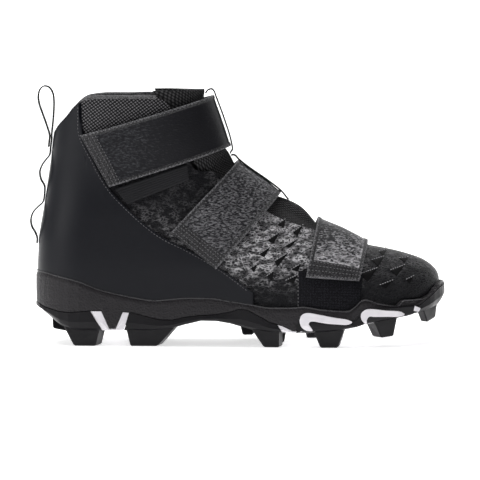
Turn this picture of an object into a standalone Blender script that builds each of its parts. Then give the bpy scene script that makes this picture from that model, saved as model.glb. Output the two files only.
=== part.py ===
# High-top american football cleat for the right foot, standing on its studs.
# +X runs from heel to toe, -Y is the outer side of the foot and +Z is up.
# The shoe's outer form is one function of the side view, half_width(x, z).
# The upper, cup, straps, tongue and overlays are all taken from that form.

import math

import bmesh
import bpy
import numpy as np
from mathutils import Vector

# Driving sizes of the shoe, in metres
LENGTH = 0.300
BALL_WIDTH = 0.101
HEEL_WIDTH = 0.070
ANKLE_WIDTH = 0.068
COLLAR_HEIGHT = 0.184
TOE_SWING = 0.008

# Walls and clearances
UPPER_WALL = 0.0024
COLLAR_PAD = 0.0060
OVERLAY = 0.0010
OVERLAY_LIFT = 0.0009
GAP = 0.0003
CUP_GAP = 0.0005
CUP_SEAT = 0.0006
PETAL_SEAT = 0.0006
TONGUE_THICKNESS = 0.0048
INSOLE_THICKNESS = 0.0040

# Sole, in metres: cup is the textured sidewall, petals the black shells that wrap it
CUP_WALL = 0.0025
CUP_EDGE = 0.0012
PETAL_WALL = 0.0014
PETAL_STEP = 0.0006
PLATE = 0.0036
CUP_BASE = 0.0018
STUD_BED = 0.0012
SOLE_HEIGHT = 0.056
CUP_FLOOR = 0.025
SOLE_REACH = CUP_GAP + CUP_WALL + PETAL_STEP / 2

# Straps and webbing, in metres
STRAP_THICKNESS = 0.0016
STRAP_LIFT = 0.0023
TOE_STRAP_LIFT = 0.0014
WEBBING_WIDTH = 0.008
WEBBING_THICKNESS = 0.0010
BOW_REACH = 0.0072
LOOP_HEIGHT = 0.0385
LOOP_WIDTH = 0.0120

LATERAL, MEDIAL = -1, 1

# Outer form seen from the side, toe to top of tongue:
# x as a share of LENGTH, z as a share of COLLAR_HEIGHT
FRONT_LINE = (
    (0.9870, 0.096),
    (0.9880, 0.140),
    (0.9885, 0.195),
    (0.9875, 0.236),
    (0.9820, 0.278),
    (0.9660, 0.308),
    (0.9420, 0.333),
    (0.8950, 0.359),
    (0.8450, 0.378),
    (0.8080, 0.391),
    (0.7800, 0.414),
    (0.7440, 0.444),
    (0.6850, 0.485),
    (0.6420, 0.531),
    (0.5950, 0.576),
    (0.5640, 0.618),
    (0.5270, 0.661),
    (0.4900, 0.705),
    (0.4720, 0.740),
    (0.4620, 0.782),
    (0.4430, 0.877),
    (0.4230, 0.970),
    (0.4190, 0.992),
    (0.4120, 1.033),
)

# Heel back seen from the side: z share of COLLAR_HEIGHT, x share of LENGTH
BACK_LINE = (
    (0.100, 0.0230),
    (0.140, 0.0160),
    (0.190, 0.0115),
    (0.245, 0.0100),
    (0.304, 0.0100),
    (0.359, 0.0115),
    (0.418, 0.0130),
    (0.459, 0.0170),
    (0.537, 0.0255),
    (0.597, 0.0312),
    (0.656, 0.0368),
    (0.735, 0.0438),
    (0.795, 0.0475),
    (0.846, 0.0520),
    (1.040, 0.0650),
)

# Plan of the form before toe and heel close it:
# x share of LENGTH, outer and inner half widths as shares of BALL_WIDTH
PLAN = (
    (0.00, 0.336, 0.330),
    (0.15, 0.338, 0.325),
    (0.24, 0.340, 0.302),
    (0.34, 0.354, 0.274),
    (0.44, 0.384, 0.276),
    (0.53, 0.420, 0.312),
    (0.61, 0.452, 0.380),
    (0.68, 0.472, 0.434),
    (0.73, 0.477, 0.459),
    (0.78, 0.474, 0.467),
    (0.85, 0.462, 0.462),
    (0.92, 0.446, 0.448),
    (1.00, 0.428, 0.428),
)

# Ankle half width: z share of COLLAR_HEIGHT, share of ANKLE_WIDTH
ANKLE = ((0.20, 0.480), (0.33, 0.470), (0.50, 0.475), (0.66, 0.460), (0.82, 0.485), (1.04, 0.515))

# How far the toe leans to the inner side: x share of LENGTH, share of TOE_SWING
SWING = ((0.0, 0.0), (0.70, 0.0), (0.80, 0.12), (0.88, 0.40), (0.94, 0.72), (1.0, 1.0))

# Rounding of the form towards the front line and the heel back
FRONT_REACH = ((0.00, 0.150), (0.45, 0.150), (0.60, 0.165), (0.75, 0.195), (1.00, 0.205))
BACK_REACH = ((0.00, 0.50), (0.30, 0.52), (0.60, 0.60), (1.04, 0.62))
FRONT_POWER = 2.2
BACK_POWER = 2.0
ANKLE_FROM, ANKLE_TO = 0.30, 0.62
FEATHER_ROUND = 0.010
FEATHER_TUCK = 0.05

# Sole heights by x share of LENGTH, as shares of SOLE_HEIGHT or CUP_FLOOR
CUP_TOP = (
    (0.000, 0.950),
    (0.030, 0.942),
    (0.059, 0.906),
    (0.108, 0.845),
    (0.157, 0.741),
    (0.206, 0.675),
    (0.255, 0.623),
    (0.292, 0.600),
    (0.329, 0.616),
    (0.378, 0.636),
    (0.427, 0.636),
    (0.476, 0.598),
    (0.526, 0.559),
    (0.575, 0.520),
    (0.624, 0.520),
    (0.649, 0.532),
    (0.698, 0.500),
    (0.757, 0.480),
    (0.771, 0.520),
    (0.796, 0.610),
    (0.833, 0.562),
    (0.875, 0.535),
    (0.890, 0.611),
    (0.931, 0.611),
    (0.953, 0.632),
    (0.985, 0.785),
    (1.000, 0.795),
)
PETAL_TOP = (
    (0.000, 0.540),
    (0.022, 0.492),
    (0.059, 0.446),
    (0.083, 0.436),
    (0.133, 0.461),
    (0.163, 0.461),
    (0.182, 0.235),
    (0.198, 0.235),
    (0.215, 0.448),
    (0.235, 0.441),
    (0.255, 0.416),
    (0.280, 0.377),
    (0.305, 0.350),
    (0.334, 0.345),
    (0.366, 0.384),
    (0.403, 0.409),
    (0.440, 0.421),
    (0.472, 0.455),
    (0.500, 0.500),
    (0.518, 0.480),
    (0.550, 0.389),
    (0.570, 0.330),
    (0.600, 0.285),
    (0.625, 0.222),
    (0.638, 0.222),
    (0.650, 0.400),
    (0.660, 0.430),
    (0.673, 0.421),
    (0.710, 0.384),
    (0.747, 0.357),
    (0.765, 0.340),
    (0.779, 0.290),
    (0.793, 0.340),
    (0.801, 0.465),
    (0.812, 0.488),
    (0.857, 0.455),
    (0.892, 0.452),
    (0.902, 0.410),
    (0.916, 0.440),
    (0.928, 0.510),
    (0.942, 0.560),
    (0.960, 0.625),
    (0.985, 0.730),
    (1.000, 0.765),
)
UNDERSIDE = (
    (0.000, 0.480),
    (0.010, 0.455),
    (0.022, 0.422),
    (0.040, 0.358),
    (0.066, 0.265),
    (0.098, 0.214),
    (0.150, 0.207),
    (0.270, 0.207),
    (0.320, 0.228),
    (0.355, 0.270),
    (0.380, 0.308),
    (0.415, 0.342),
    (0.452, 0.330),
    (0.490, 0.285),
    (0.526, 0.234),
    (0.575, 0.207),
    (0.649, 0.196),
    (0.690, 0.205),
    (0.730, 0.225),
    (0.760, 0.248),
    (0.804, 0.307),
    (0.845, 0.343),
    (0.882, 0.377),
    (0.930, 0.428),
    (0.960, 0.460),
    (0.985, 0.505),
    (1.000, 0.555),
)
FLOOR_LINE = (
    (0.00, 1.40),
    (0.04, 1.22),
    (0.10, 1.03),
    (0.22, 0.99),
    (0.32, 1.03),
    (0.42, 1.13),
    (0.51, 0.97),
    (0.61, 0.80),
    (0.68, 0.79),
    (0.76, 0.86),
    (0.845, 1.03),
    (0.91, 1.20),
    (0.96, 1.29),
    (1.00, 1.40),
)

# Edges between the black petals and the white plate, seen from the side:
# x at the top and at the bottom, shares of LENGTH
HEEL_SPLIT = (0.137, 0.166)
ARCH_SPLIT = (0.2315, 0.217)
BALL_SPLIT = (0.570, 0.600)
TOE_SPLIT = (0.925, 0.905)
SPLIT_TOP, SPLIT_FOOT = 0.46, 0.20

# Studs: name, side, shares of LENGTH for the base and the tip, rear then front,
# inner corner shifts rear and front, tip heights as shares of SOLE_HEIGHT,
# depth across and inset from the edge as shares of BALL_WIDTH
STUDS = (
    ("heel_rear_outer", LATERAL, 0.068, 0.158, 0.096, 0.147, 0.000, 0.015, 0.00, 0.00, 0.130, 0.02),
    ("heel_rear_inner", MEDIAL, 0.068, 0.154, 0.096, 0.143, 0.000, 0.012, 0.00, 0.00, 0.130, 0.02),
    ("heel_bevel", MEDIAL, 0.038, 0.078, 0.040, 0.078, 0.000, 0.000, 0.175, 0.120, 0.100, 0.10),
    ("heel_front_outer", LATERAL, 0.223, 0.345, 0.233, 0.297, 0.000, 0.012, 0.00, 0.00, 0.130, 0.02),
    ("heel_front_inner", MEDIAL, 0.223, 0.345, 0.233, 0.297, 0.000, 0.012, 0.00, 0.00, 0.130, 0.02),
    ("ball_rear_outer", LATERAL, 0.523, 0.592, 0.556, 0.592, 0.000, 0.010, 0.00, 0.00, 0.125, 0.02),
    ("ball_rear_inner", MEDIAL, 0.494, 0.540, 0.505, 0.531, 0.000, 0.000, 0.06, 0.06, 0.100, 0.04),
    ("ball_outer", LATERAL, 0.675, 0.750, 0.692, 0.734, 0.000, 0.006, 0.00, 0.00, 0.130, 0.02),
    ("ball_inner", MEDIAL, 0.652, 0.752, 0.664, 0.744, 0.000, 0.000, 0.00, 0.00, 0.120, 0.03),
    ("fore_outer", LATERAL, 0.822, 0.878, 0.840, 0.869, -0.021, 0.000, 0.12, 0.14, 0.125, 0.02),
    ("fore_inner", MEDIAL, 0.815, 0.880, 0.832, 0.868, -0.010, 0.000, 0.12, 0.17, 0.120, 0.03),
    ("toe_outer", LATERAL, 0.943, 0.980, 0.955, 0.976, -0.016, 0.000, 0.28, 0.33, 0.120, 0.03),
    ("toe_inner", MEDIAL, 0.955, 0.982, 0.956, 0.976, -0.006, 0.000, 0.28, 0.33, 0.120, 0.06),
    ("middle", 0, 0.560, 0.614, 0.570, 0.606, 0.000, 0.000, 0.00, 0.00, 0.110, 0.00),
)
SET_STUDS = ("ball_outer", "ball_inner", "fore_outer", "fore_inner")
CROSSING_STUDS = ("ball_rear_outer", "middle")
STUD_FLARE = 0.020
STUD_TAPER = 0.025
STUD_EDGE = 0.0009

# Throat opening seen from the side: x share of LENGTH, z share of COLLAR_HEIGHT
THROAT = (
    (0.290, 0.995),
    (0.312, 0.975),
    (0.330, 0.942),
    (0.352, 0.850),
    (0.372, 0.740),
    (0.392, 0.695),
    (0.436, 0.688),
    (0.470, 0.649),
    (0.510, 0.592),
    (0.580, 0.515),
    (0.640, 0.476),
    (0.690, 0.453),
    (0.712, 0.462),
)
COLLAR_RIM = (
    (0.0520, 0.843),
    (0.0640, 0.875),
    (0.0840, 0.913),
    (0.1030, 0.953),
    (0.1180, 0.974),
    (0.1500, 0.984),
    (0.2310, 0.985),
    (0.2800, 0.989),
    (0.3500, 0.987),
    (0.4190, 0.987),
)
COLLAR_BREAK = 0.44
QUARTER_EDGE = (
    (0.1160, 0.966),
    (0.1150, 0.900),
    (0.1170, 0.834),
    (0.1450, 0.735),
    (0.1820, 0.624),
    (0.2310, 0.538),
    (0.3050, 0.439),
    (0.3780, 0.379),
    (0.4550, 0.307),
    (0.5300, 0.218),
)

# Straps seen from the side: free end top and foot, front top and foot,
# x share of LENGTH then z share of COLLAR_HEIGHT; inner end as a share of the length
STRAPS = {
    "strap_ankle": ((0.118, 0.832), (0.182, 0.628), (0.432, 0.984), (0.474, 0.783), 0.30),
    "strap_instep": ((0.332, 0.450), (0.442, 0.308), (0.496, 0.732), (0.600, 0.601), 0.12),
    "strap_forefoot": ((0.656, 0.277), (0.784, 0.257), (0.688, 0.510), (0.811, 0.419), 0.10),
}
ELASTIC_BAND = ((0.197, 0.620), (0.226, 0.563), (0.370, 0.715), (0.374, 0.660))

# Webbing on the heel: z share of COLLAR_HEIGHT, stand-off as a share of BOW_REACH
HEEL_CHAIN = (
    (0.395, 0.00),
    (0.418, 0.02),
    (0.440, 0.30),
    (0.462, 0.72),
    (0.490, 0.95),
    (0.520, 0.84),
    (0.542, 0.42),
    (0.560, 0.02),
    (0.600, 0.00),
    (0.625, 0.12),
    (0.650, 0.56),
    (0.680, 0.80),
    (0.708, 0.66),
    (0.728, 0.36),
    (0.748, 0.03),
    (0.780, 0.00),
    (0.812, 0.00),
)
# Pull loop above it: shares of LOOP_WIDTH back from the heel and of LOOP_HEIGHT up
PULL_LOOP = (
    (0.00, 0.08),
    (-0.05, 0.22),
    (-0.12, 0.45),
    (-0.15, 0.70),
    (-0.09, 0.86),
    (0.12, 0.97),
    (0.42, 1.00),
    (0.67, 0.95),
    (0.80, 0.82),
    (0.76, 0.68),
    (0.55, 0.48),
    (0.30, 0.26),
    (0.12, 0.06),
)
LOOP_STITCH = 0.006

# Webbing over the straps at the front: z share of COLLAR_HEIGHT, and its stand-off,
# where 0 lies on the tongue and 1 on a strap
ANKLE_KEEPER = (
    (0.995, 0.05),
    (1.004, 0.40),
    (1.004, 0.90),
    (0.995, 1.10),
    (0.970, 1.14),
    (0.895, 1.18),
    (0.815, 1.18),
    (0.778, 1.14),
    (0.762, 1.00),
    (0.756, 0.50),
    (0.749, 0.10),
)
INSTEP_KEEPER = (
    (0.741, 0.05),
    (0.739, 0.50),
    (0.732, 0.95),
    (0.714, 1.01),
    (0.680, 1.01),
    (0.630, 1.02),
    (0.596, 1.08),
    (0.577, 1.04),
    (0.565, 0.55),
    (0.558, 0.05),
)

# Where the tongue puffs out between straps: low and high as shares of COLLAR_HEIGHT,
# then how far in metres
TONGUE_PUFFS = ((0.478, 0.600, 0.0056), (0.690, 0.795, 0.0044), (0.985, 1.060, 0.0022))

# Mesh density
UPPER_COLUMNS, UPPER_ROWS = 28, 9
STRAP_COLUMNS, STRAP_ROWS = 24, 4
QUARTER_COLUMNS, QUARTER_ROWS = 24, 6
TONGUE_COLUMNS, TONGUE_ROWS = 20, 10


def monotone(rows, column=1):
    """A smooth function through a table's rows that never overshoots them."""
    x = np.array([row[0] for row in rows], float)
    y = np.array([row[column] for row in rows], float)
    width = np.diff(x)
    rise = np.diff(y) / width
    slope = np.zeros(len(x))
    slope[0], slope[-1] = rise[0], rise[-1]
    for i in range(1, len(x) - 1):
        if rise[i - 1] * rise[i] > 0:
            near, far = 2 * width[i] + width[i - 1], width[i] + 2 * width[i - 1]
            slope[i] = (near + far) / (near / rise[i - 1] + far / rise[i])

    def value(at):
        at = min(max(at, x[0]), x[-1])
        i = min(int(np.searchsorted(x, at, side="right")) - 1, len(width) - 1)
        t = (at - x[i]) / width[i]
        return (
            (1 + 2 * t) * (1 - t) ** 2 * y[i]
            + t * (1 - t) ** 2 * width[i] * slope[i]
            + t * t * (3 - 2 * t) * y[i + 1]
            - t * t * (1 - t) * width[i] * slope[i + 1]
        )

    return value


def straight(rows):
    """A function that runs straight from row to row of a table."""
    x = [row[0] for row in rows]
    y = [row[1] for row in rows]
    return lambda at: float(np.interp(at, x, y))


def rounded_line(points, steps=6):
    """Points on a smooth curve through the given ones, dense enough for distances."""
    points = [np.array(p, float) for p in points]
    ends = [2 * points[0] - points[1], *points, 2 * points[-1] - points[-2]]
    found = []
    for a, b, c, d in zip(ends, ends[1:], ends[2:], ends[3:]):
        span = [max(np.linalg.norm(q - p), 1e-9) ** 0.5 for p, q in ((a, b), (b, c), (c, d))]
        out = (c - b) + span[1] * ((b - a) / span[0] - (c - a) / (span[0] + span[1]))
        back = (c - b) + span[1] * ((d - c) / span[2] - (d - b) / (span[1] + span[2]))
        for k in range(steps):
            t = k / steps
            found.append(
                (2 * t**3 - 3 * t * t + 1) * b
                + (t**3 - 2 * t * t + t) * out
                + (3 * t * t - 2 * t**3) * c
                + (t**3 - t * t) * back
            )
    return np.array([*found, points[-1]])


def along(points, share):
    """The point at a share of a line's length."""
    points = np.asarray(points, float)
    steps = np.linalg.norm(np.diff(points, axis=0), axis=1)
    reach = np.concatenate([[0.0], np.cumsum(steps)])
    at = min(max(share, 0.0), 1.0) * reach[-1]
    return np.array([np.interp(at, reach, points[:, k]) for k in range(points.shape[1])])


def side_points(rows):
    """Rows of LENGTH and COLLAR_HEIGHT shares as side-view points in metres."""
    return [(x * LENGTH, z * COLLAR_HEIGHT) for x, z in rows]


def eased(t):
    t = min(max(t, 0.0), 1.0)
    return t * t * (3 - 2 * t)


front_points = rounded_line(side_points(FRONT_LINE))
front_starts = front_points[:-1]
front_steps = np.diff(front_points, axis=0)
front_squares = (front_steps**2).sum(axis=1)

back_of = monotone(BACK_LINE)
outer_plan, inner_plan = monotone(PLAN, 1), monotone(PLAN, 2)
ankle_of = monotone(ANKLE)
swing_of = monotone(SWING)
front_reach_of = monotone(FRONT_REACH)
back_reach_of = monotone(BACK_REACH)
cup_top_of = monotone(CUP_TOP)
petal_top_of = straight(PETAL_TOP)
underside_of = monotone(UNDERSIDE)
floor_of = monotone(FLOOR_LINE)


def back_x(z):
    return back_of(z / COLLAR_HEIGHT) * LENGTH


def toe_x():
    return LENGTH - CUP_GAP - CUP_WALL - PETAL_STEP + 0.0002


def middle_y(x):
    """The form's middle, which swings to the inner side at the toe."""
    return swing_of(x / LENGTH) * TOE_SWING


def floor_z(x):
    return floor_of(x / LENGTH) * CUP_FLOOR


def underside_z(x):
    return underside_of(x / LENGTH) * SOLE_HEIGHT


def cup_top_z(x):
    return max(cup_top_of(x / LENGTH) * SOLE_HEIGHT, petal_top_z(x) + 0.0015)


def petal_top_z(x):
    return max(petal_top_of(x / LENGTH) * SOLE_HEIGHT, underside_z(x) + 0.0012)


def plate_top_z(x):
    return min(underside_z(x) + PLATE, floor_z(x) - CUP_BASE)


def front_foot(x, z):
    """Depth behind the front line, and that line's outward normal there."""
    away = np.array([x, z]) - front_starts
    t = np.clip((away * front_steps).sum(axis=1) / front_squares, 0.0, 1.0)
    gap = away - t[:, None] * front_steps
    distance = (gap**2).sum(axis=1)
    i = int(distance.argmin())
    along_line = front_steps[i] / math.sqrt(front_squares[i])
    outward = np.array([along_line[1], -along_line[0]])
    side = float(gap[i] @ outward)
    depth = math.sqrt(distance[i])
    return (depth if side <= 0 else -depth), outward


def closing(share, power):
    if share <= 0:
        return 0.0
    return (1 - (1 - min(share, 1.0)) ** power) ** 0.5


def half_width(x, z, side):
    """Half width of the shoe's outer form at a side-view point, on one side."""
    share = x / LENGTH
    plan = (outer_plan if side == LATERAL else inner_plan)(share) * BALL_WIDTH
    heel = eased((0.34 - share) / 0.16)
    plan *= 1 + heel * (HEEL_WIDTH / (0.693 * BALL_WIDTH) - 1)
    ankle = ankle_of(z / COLLAR_HEIGHT) * ANKLE_WIDTH
    rise = eased((z / COLLAR_HEIGHT - ANKLE_FROM) / (ANKLE_TO - ANKLE_FROM))
    width = plan + (ankle - plan) * rise
    depth, _ = front_foot(x, z)
    reach = front_reach_of(share) * LENGTH
    width *= closing(depth / reach, FRONT_POWER)
    width *= closing((x - back_x(z)) / (back_reach_of(z / COLLAR_HEIGHT) * HEEL_WIDTH), BACK_POWER)
    tuck = min(max(1 - (z - floor_z(x)) / FEATHER_ROUND, 0.0), 1.0)
    return width * (1 - FEATHER_TUCK * tuck * tuck)


def skin(x, z, side, lift=0.0):
    """A point on the outer form at a side-view point, lifted along its normal."""
    depth, outward = front_foot(x, z)
    back = x - back_x(z)
    middle = middle_y(x)
    if depth < 2e-5:
        return Vector((x + outward[0] * lift, middle, z + outward[1] * lift))
    if back < 2e-5:
        lean = (back_x(z + 1e-3) - back_x(z - 1e-3)) / 2e-3
        size = math.hypot(1.0, lean)
        return Vector((x - lift / size, middle, z + lift * lean / size))
    step = min(1e-4, 0.4 * depth, 0.4 * back)
    width = half_width(x, z, side)
    run = (half_width(x + step, z, side) - half_width(x - step, z, side)) / (2 * step)
    climb = (half_width(x, z + step, side) - half_width(x, z - step, side)) / (2 * step)
    swing = (middle_y(x + step) - middle_y(x - step)) / (2 * step)
    normal = Vector((-run - side * swing, side, -climb)).normalized()
    return Vector((x, middle + side * width, z)) + normal * lift


def patch(foot, top, rear, front):
    """A side-view surface between four lines, each a function from 0 to 1."""

    def place(s, t):
        blend = (1 - t) * foot(s) + t * top(s) + (1 - s) * rear(t) + s * front(t)
        corners = (1 - s) * (1 - t) * foot(0) + s * (1 - t) * foot(1)
        return blend - corners - (1 - s) * t * top(0) - s * t * top(1)

    return place


# Scene helpers: one object for each sub-part, and cutters kept apart

def clear_scene():
    for obj in list(bpy.data.objects):
        bpy.data.objects.remove(obj, do_unlink=True)
    parts = bpy.data.collections.new("football_cleat")
    tools = bpy.data.collections.new("cutters")
    for group in (parts, tools):
        bpy.context.scene.collection.children.link(group)
    tools.hide_render = True
    root = bpy.data.objects.new("cleat_root", None)
    parts.objects.link(root)
    return parts, tools, root


def finish_of(name, colour, roughness, metallic=0.0):
    material = bpy.data.materials.new(name)
    material.use_nodes = True
    shader = material.node_tree.nodes["Principled BSDF"]
    shader.inputs["Base Color"].default_value = (*colour, 1.0)
    shader.inputs["Roughness"].default_value = roughness
    shader.inputs["Metallic"].default_value = metallic
    return material


def add_piece(name, bm, material):
    mesh = bpy.data.meshes.new(name)
    bm.to_mesh(mesh)
    bm.free()
    mesh.materials.append(material)
    obj = bpy.data.objects.new(name, mesh)
    parts.objects.link(obj)
    obj.parent = root
    mesh.shade_smooth()
    return obj


def add_cutter(name, bm):
    mesh = bpy.data.meshes.new(name)
    bm.to_mesh(mesh)
    bm.free()
    obj = bpy.data.objects.new(name, mesh)
    tools.objects.link(obj)
    obj.parent = root
    obj.hide_render = True
    obj.display_type = "WIRE"
    return obj


def combine(obj, other, operation):
    modifier = obj.modifiers.new(other.name, "BOOLEAN")
    modifier.operation = operation
    modifier.solver = "EXACT"
    modifier.object = other
    return modifier


def thicken(obj, thickness, offset, group=None, share=0.0):
    """Gives an open sheet its wall; offset 1 grows outwards and -1 inwards."""
    modifier = obj.modifiers.new("wall", "SOLIDIFY")
    modifier.thickness = thickness
    modifier.offset = offset
    modifier.use_even_offset = False
    modifier.use_quality_normals = True
    if group:
        modifier.vertex_group = group
        modifier.thickness_vertex_group = share
    return modifier


def sheet(columns, rows, place, seam=True):
    """An open sheet of quads whose points are given by place(s, t)."""
    bm = bmesh.new()
    bmesh.ops.create_grid(bm, x_segments=columns, y_segments=rows, size=0.5)
    for vert in bm.verts:
        vert.co = place(vert.co.x + 0.5, vert.co.y + 0.5)
    if seam:
        bmesh.ops.remove_doubles(bm, verts=bm.verts, dist=2e-5)
    return bm


def turn_outwards(bm):
    """Gives the faces one direction, outwards where they close a solid."""
    bm.normal_update()
    bmesh.ops.recalc_face_normals(bm, faces=bm.faces)
    bm.normal_update()


def face_outwards(bm, inside):
    """Turns an open sheet so that its faces look away from an inner point."""
    turn_outwards(bm)
    votes = sum(
        face.calc_area() * (1 if face.normal.dot(face.calc_center_median() - inside) > 0 else -1)
        for face in bm.faces
    )
    if votes < 0:
        bmesh.ops.reverse_faces(bm, faces=bm.faces)


def inside_point():
    return Vector((0.30 * LENGTH, 0.0, 0.35 * COLLAR_HEIGHT))


def prism(outline, reach=0.09):
    """A block through the whole shoe with a given side-view outline."""
    bm = bmesh.new()
    verts = [bm.verts.new((x, -reach, z)) for x, z in outline]
    face = bm.faces.new(verts)
    grown = bmesh.ops.extrude_face_region(bm, geom=[face])
    moved = [v for v in grown["geom"] if isinstance(v, bmesh.types.BMVert)]
    bmesh.ops.translate(bm, verts=moved, vec=(0, 2 * reach, 0))
    turn_outwards(bm)
    return bm


# Upper: one hollow wall from the form, closed along the ridge and cut at the throat

def upper_lines():
    toe_corner = 0.885 * LENGTH
    toe_index = int(np.abs(front_points[:, 0] - toe_corner)[: len(front_points) // 2].argmin())
    top_index = int(np.abs(front_points[:, 1] - COLLAR_HEIGHT).argmin())
    toe_z = floor_z(0.991 * LENGTH) + CUP_GAP
    toe_foot = [np.interp(toe_z, front_points[:toe_index, 1], front_points[:toe_index, 0]), toe_z]
    above = [p for p in front_points[: toe_index + 1] if p[1] > toe_z + 1e-4]
    profile = np.array([toe_foot, *above])
    ridge = front_points[toe_index : top_index + 1][::-1]
    rim = rounded_line(side_points(COLLAR_RIM))
    rim[0][0] = back_x(rim[0][1])
    rim[-1] = ridge[0]
    return profile, ridge, rim


def heel_foot():
    z = floor_z(0.0105 * LENGTH) + CUP_GAP
    return np.array([back_x(z), z])


def make_upper(material):
    profile, ridge, rim = upper_lines()
    heel = heel_foot()
    toe = profile[0]

    def foot(s):
        share = 0.55 * s + 0.45 * (1 - math.cos(math.pi * s)) / 2
        x = heel[0] + share * (toe[0] - heel[0])
        return np.array([x, floor_z(x) + CUP_GAP])

    def top(s):
        if s <= COLLAR_BREAK:
            return along(rim, s / COLLAR_BREAK)
        return along(ridge, (s - COLLAR_BREAK) / (1 - COLLAR_BREAK))

    def rear(t):
        z = heel[1] + t * (rim[0][1] - heel[1])
        return np.array([back_x(z), z])

    def front(t):
        return along(profile, t)

    place = patch(foot, top, rear, front)

    def spot(s, t):
        side = LATERAL if s < 0.5 else MEDIAL
        s = abs(1 - 2 * s)
        rise = 1 - (1 - t) ** 1.5
        x, z = place(s, rise)
        needed = 0.03 * (1 - rise) * min(1.0, 5 * (1 - s))
        depth, outward = front_foot(x, z)
        if depth < needed:
            x, z = x - outward[0] * (needed - depth), z - outward[1] * (needed - depth)
        if s < 1e-6:
            x = back_x(z)
        return skin(x, z, side)

    bm = sheet(2 * UPPER_COLUMNS, UPPER_ROWS, spot)
    face_outwards(bm, inside_point())
    upper = add_piece("upper", bm, material)
    pad = upper.vertex_groups.new(name="pad")
    for vert in upper.data.vertices:
        high = eased((vert.co.z / COLLAR_HEIGHT - 0.72) / 0.16)
        rearward = eased((0.29 - vert.co.x / LENGTH) / 0.07)
        pad.add([vert.index], high * rearward, "REPLACE")
    thicken(upper, COLLAR_PAD, -1, "pad", UPPER_WALL / COLLAR_PAD)
    throat = side_points(THROAT)
    far = [(0.80 * LENGTH, 0.80 * COLLAR_HEIGHT), (0.62 * LENGTH, 1.25 * COLLAR_HEIGHT)]
    near = [(0.285 * LENGTH, 1.25 * COLLAR_HEIGHT)]
    cutter = add_cutter("throat_cutter", prism([*throat, *far, *near]))
    combine(upper, cutter, "DIFFERENCE")
    return upper


# Heel quarter: the smooth overlay that wraps the heel and runs forward to the ball

def make_quarter(material):
    rim = rounded_line(side_points([row for row in COLLAR_RIM if row[0] < 0.112] + [QUARTER_EDGE[0]]))
    edge = rounded_line(side_points(QUARTER_EDGE))
    tip_x = QUARTER_EDGE[-1][0] * LENGTH
    rim[0][0] = back_x(rim[0][1])
    share = 6 / QUARTER_COLUMNS
    drop = 0.0012

    def low(x):
        behind = SOLE_REACH * max(0.0, 1 - x / (0.12 * LENGTH))
        return cup_top_z(x - behind) + 3 * GAP

    def foot(s):
        z = low(0.01 * LENGTH)
        start = back_x(z)
        x = start + s * (tip_x - start)
        return np.array([x, low(max(x, 0.01 * LENGTH))])

    def top(s):
        if s <= share:
            x, z = along(rim, s / share)
            return np.array([x, z - drop])
        return along(edge, (s - share) / (1 - share))

    def rear(t):
        z = foot(0)[1] + t * (top(0)[1] - foot(0)[1])
        return np.array([back_x(z), z])

    def front(t):
        return (1 - t) * foot(1) + t * top(1)

    place = patch(foot, top, rear, front)

    def spot(s, t):
        side = LATERAL if s < 0.5 else MEDIAL
        s = abs(1 - 2 * s)
        x, z = place(s, t)
        if s < 1e-6:
            x = back_x(z)
        return skin(x, z, side, OVERLAY_LIFT)

    bm = sheet(2 * QUARTER_COLUMNS, QUARTER_ROWS, spot)
    face_outwards(bm, inside_point())
    quarter = add_piece("heel_quarter", bm, material)
    thicken(quarter, OVERLAY, 1)
    return quarter


# Tongue: one padded sheet under the throat, wider at the top where it lines the collar

def front_at(z):
    """The front line's point and outward normal at a height above the instep."""
    upper_half = front_points[len(front_points) // 3 :]
    x = float(np.interp(z, upper_half[:, 1], upper_half[:, 0]))
    _, outward = front_foot(x, z)
    return np.array([x, z]), outward


def tongue_lift(z, across):
    """How far the tongue's outer face stands off the form: it puffs out between the straps."""
    lift = -UPPER_WALL - 3 * GAP
    for low, high, puff in TONGUE_PUFFS:
        share = (z / COLLAR_HEIGHT - low) / (high - low)
        if 0 < share < 1:
            free = max(1 - (across / 0.42) ** 2, 0.0) ** 2
            lift += puff * free * math.sin(math.pi * share) ** 0.7
    return lift


def make_tongue(material):
    start = int(np.abs(front_points[:, 0] - 0.725 * LENGTH).argmin())
    line = front_points[start:]
    top_cut = int(np.abs(line[:, 1] - 1.012 * COLLAR_HEIGHT).argmin())
    line = line[: top_cut + 1]
    depth_of = monotone(((0.0, 0.022), (0.25, 0.055), (0.55, 0.070), (0.75, 0.085), (1.0, 0.130)))

    def spot(s, t):
        across = 2 * s - 1
        side = LATERAL if across < 0 else MEDIAL
        x, z = along(line, t)
        lift = tongue_lift(z, across)
        _, outward = front_foot(x, z)
        depth = depth_of(t) * LENGTH * across * across
        x, z = x - outward[0] * depth, z - outward[1] * depth
        z += 0.9 * outward[1] * depth * eased((t - 0.80) / 0.20)
        return skin(x, z, side, lift)

    bm = sheet(TONGUE_ROWS, TONGUE_COLUMNS, spot)
    face_outwards(bm, inside_point())
    tongue = add_piece("tongue", bm, material)
    thicken(tongue, TONGUE_THICKNESS, -1)
    return tongue


# Straps: flat bands that lie on the form and wrap over the front

def strap_line(strap, w):
    """The side-view line of one thread of a strap, from its free end to the front line."""
    free_top, free_foot, front_top, front_foot_point, _ = strap
    size = np.array([LENGTH, COLLAR_HEIGHT])
    a = (np.array(free_top) * (1 - w) + np.array(free_foot) * w) * size
    b = (np.array(front_top) * (1 - w) + np.array(front_foot_point) * w) * size
    low, high = 0.6, 1.1
    for _ in range(40):
        middle = (low + high) / 2
        x, z = a + middle * (b - a)
        low, high = (middle, high) if front_foot(x, z)[0] > 0 else (low, middle)
    return a, a + low * (b - a)


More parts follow.
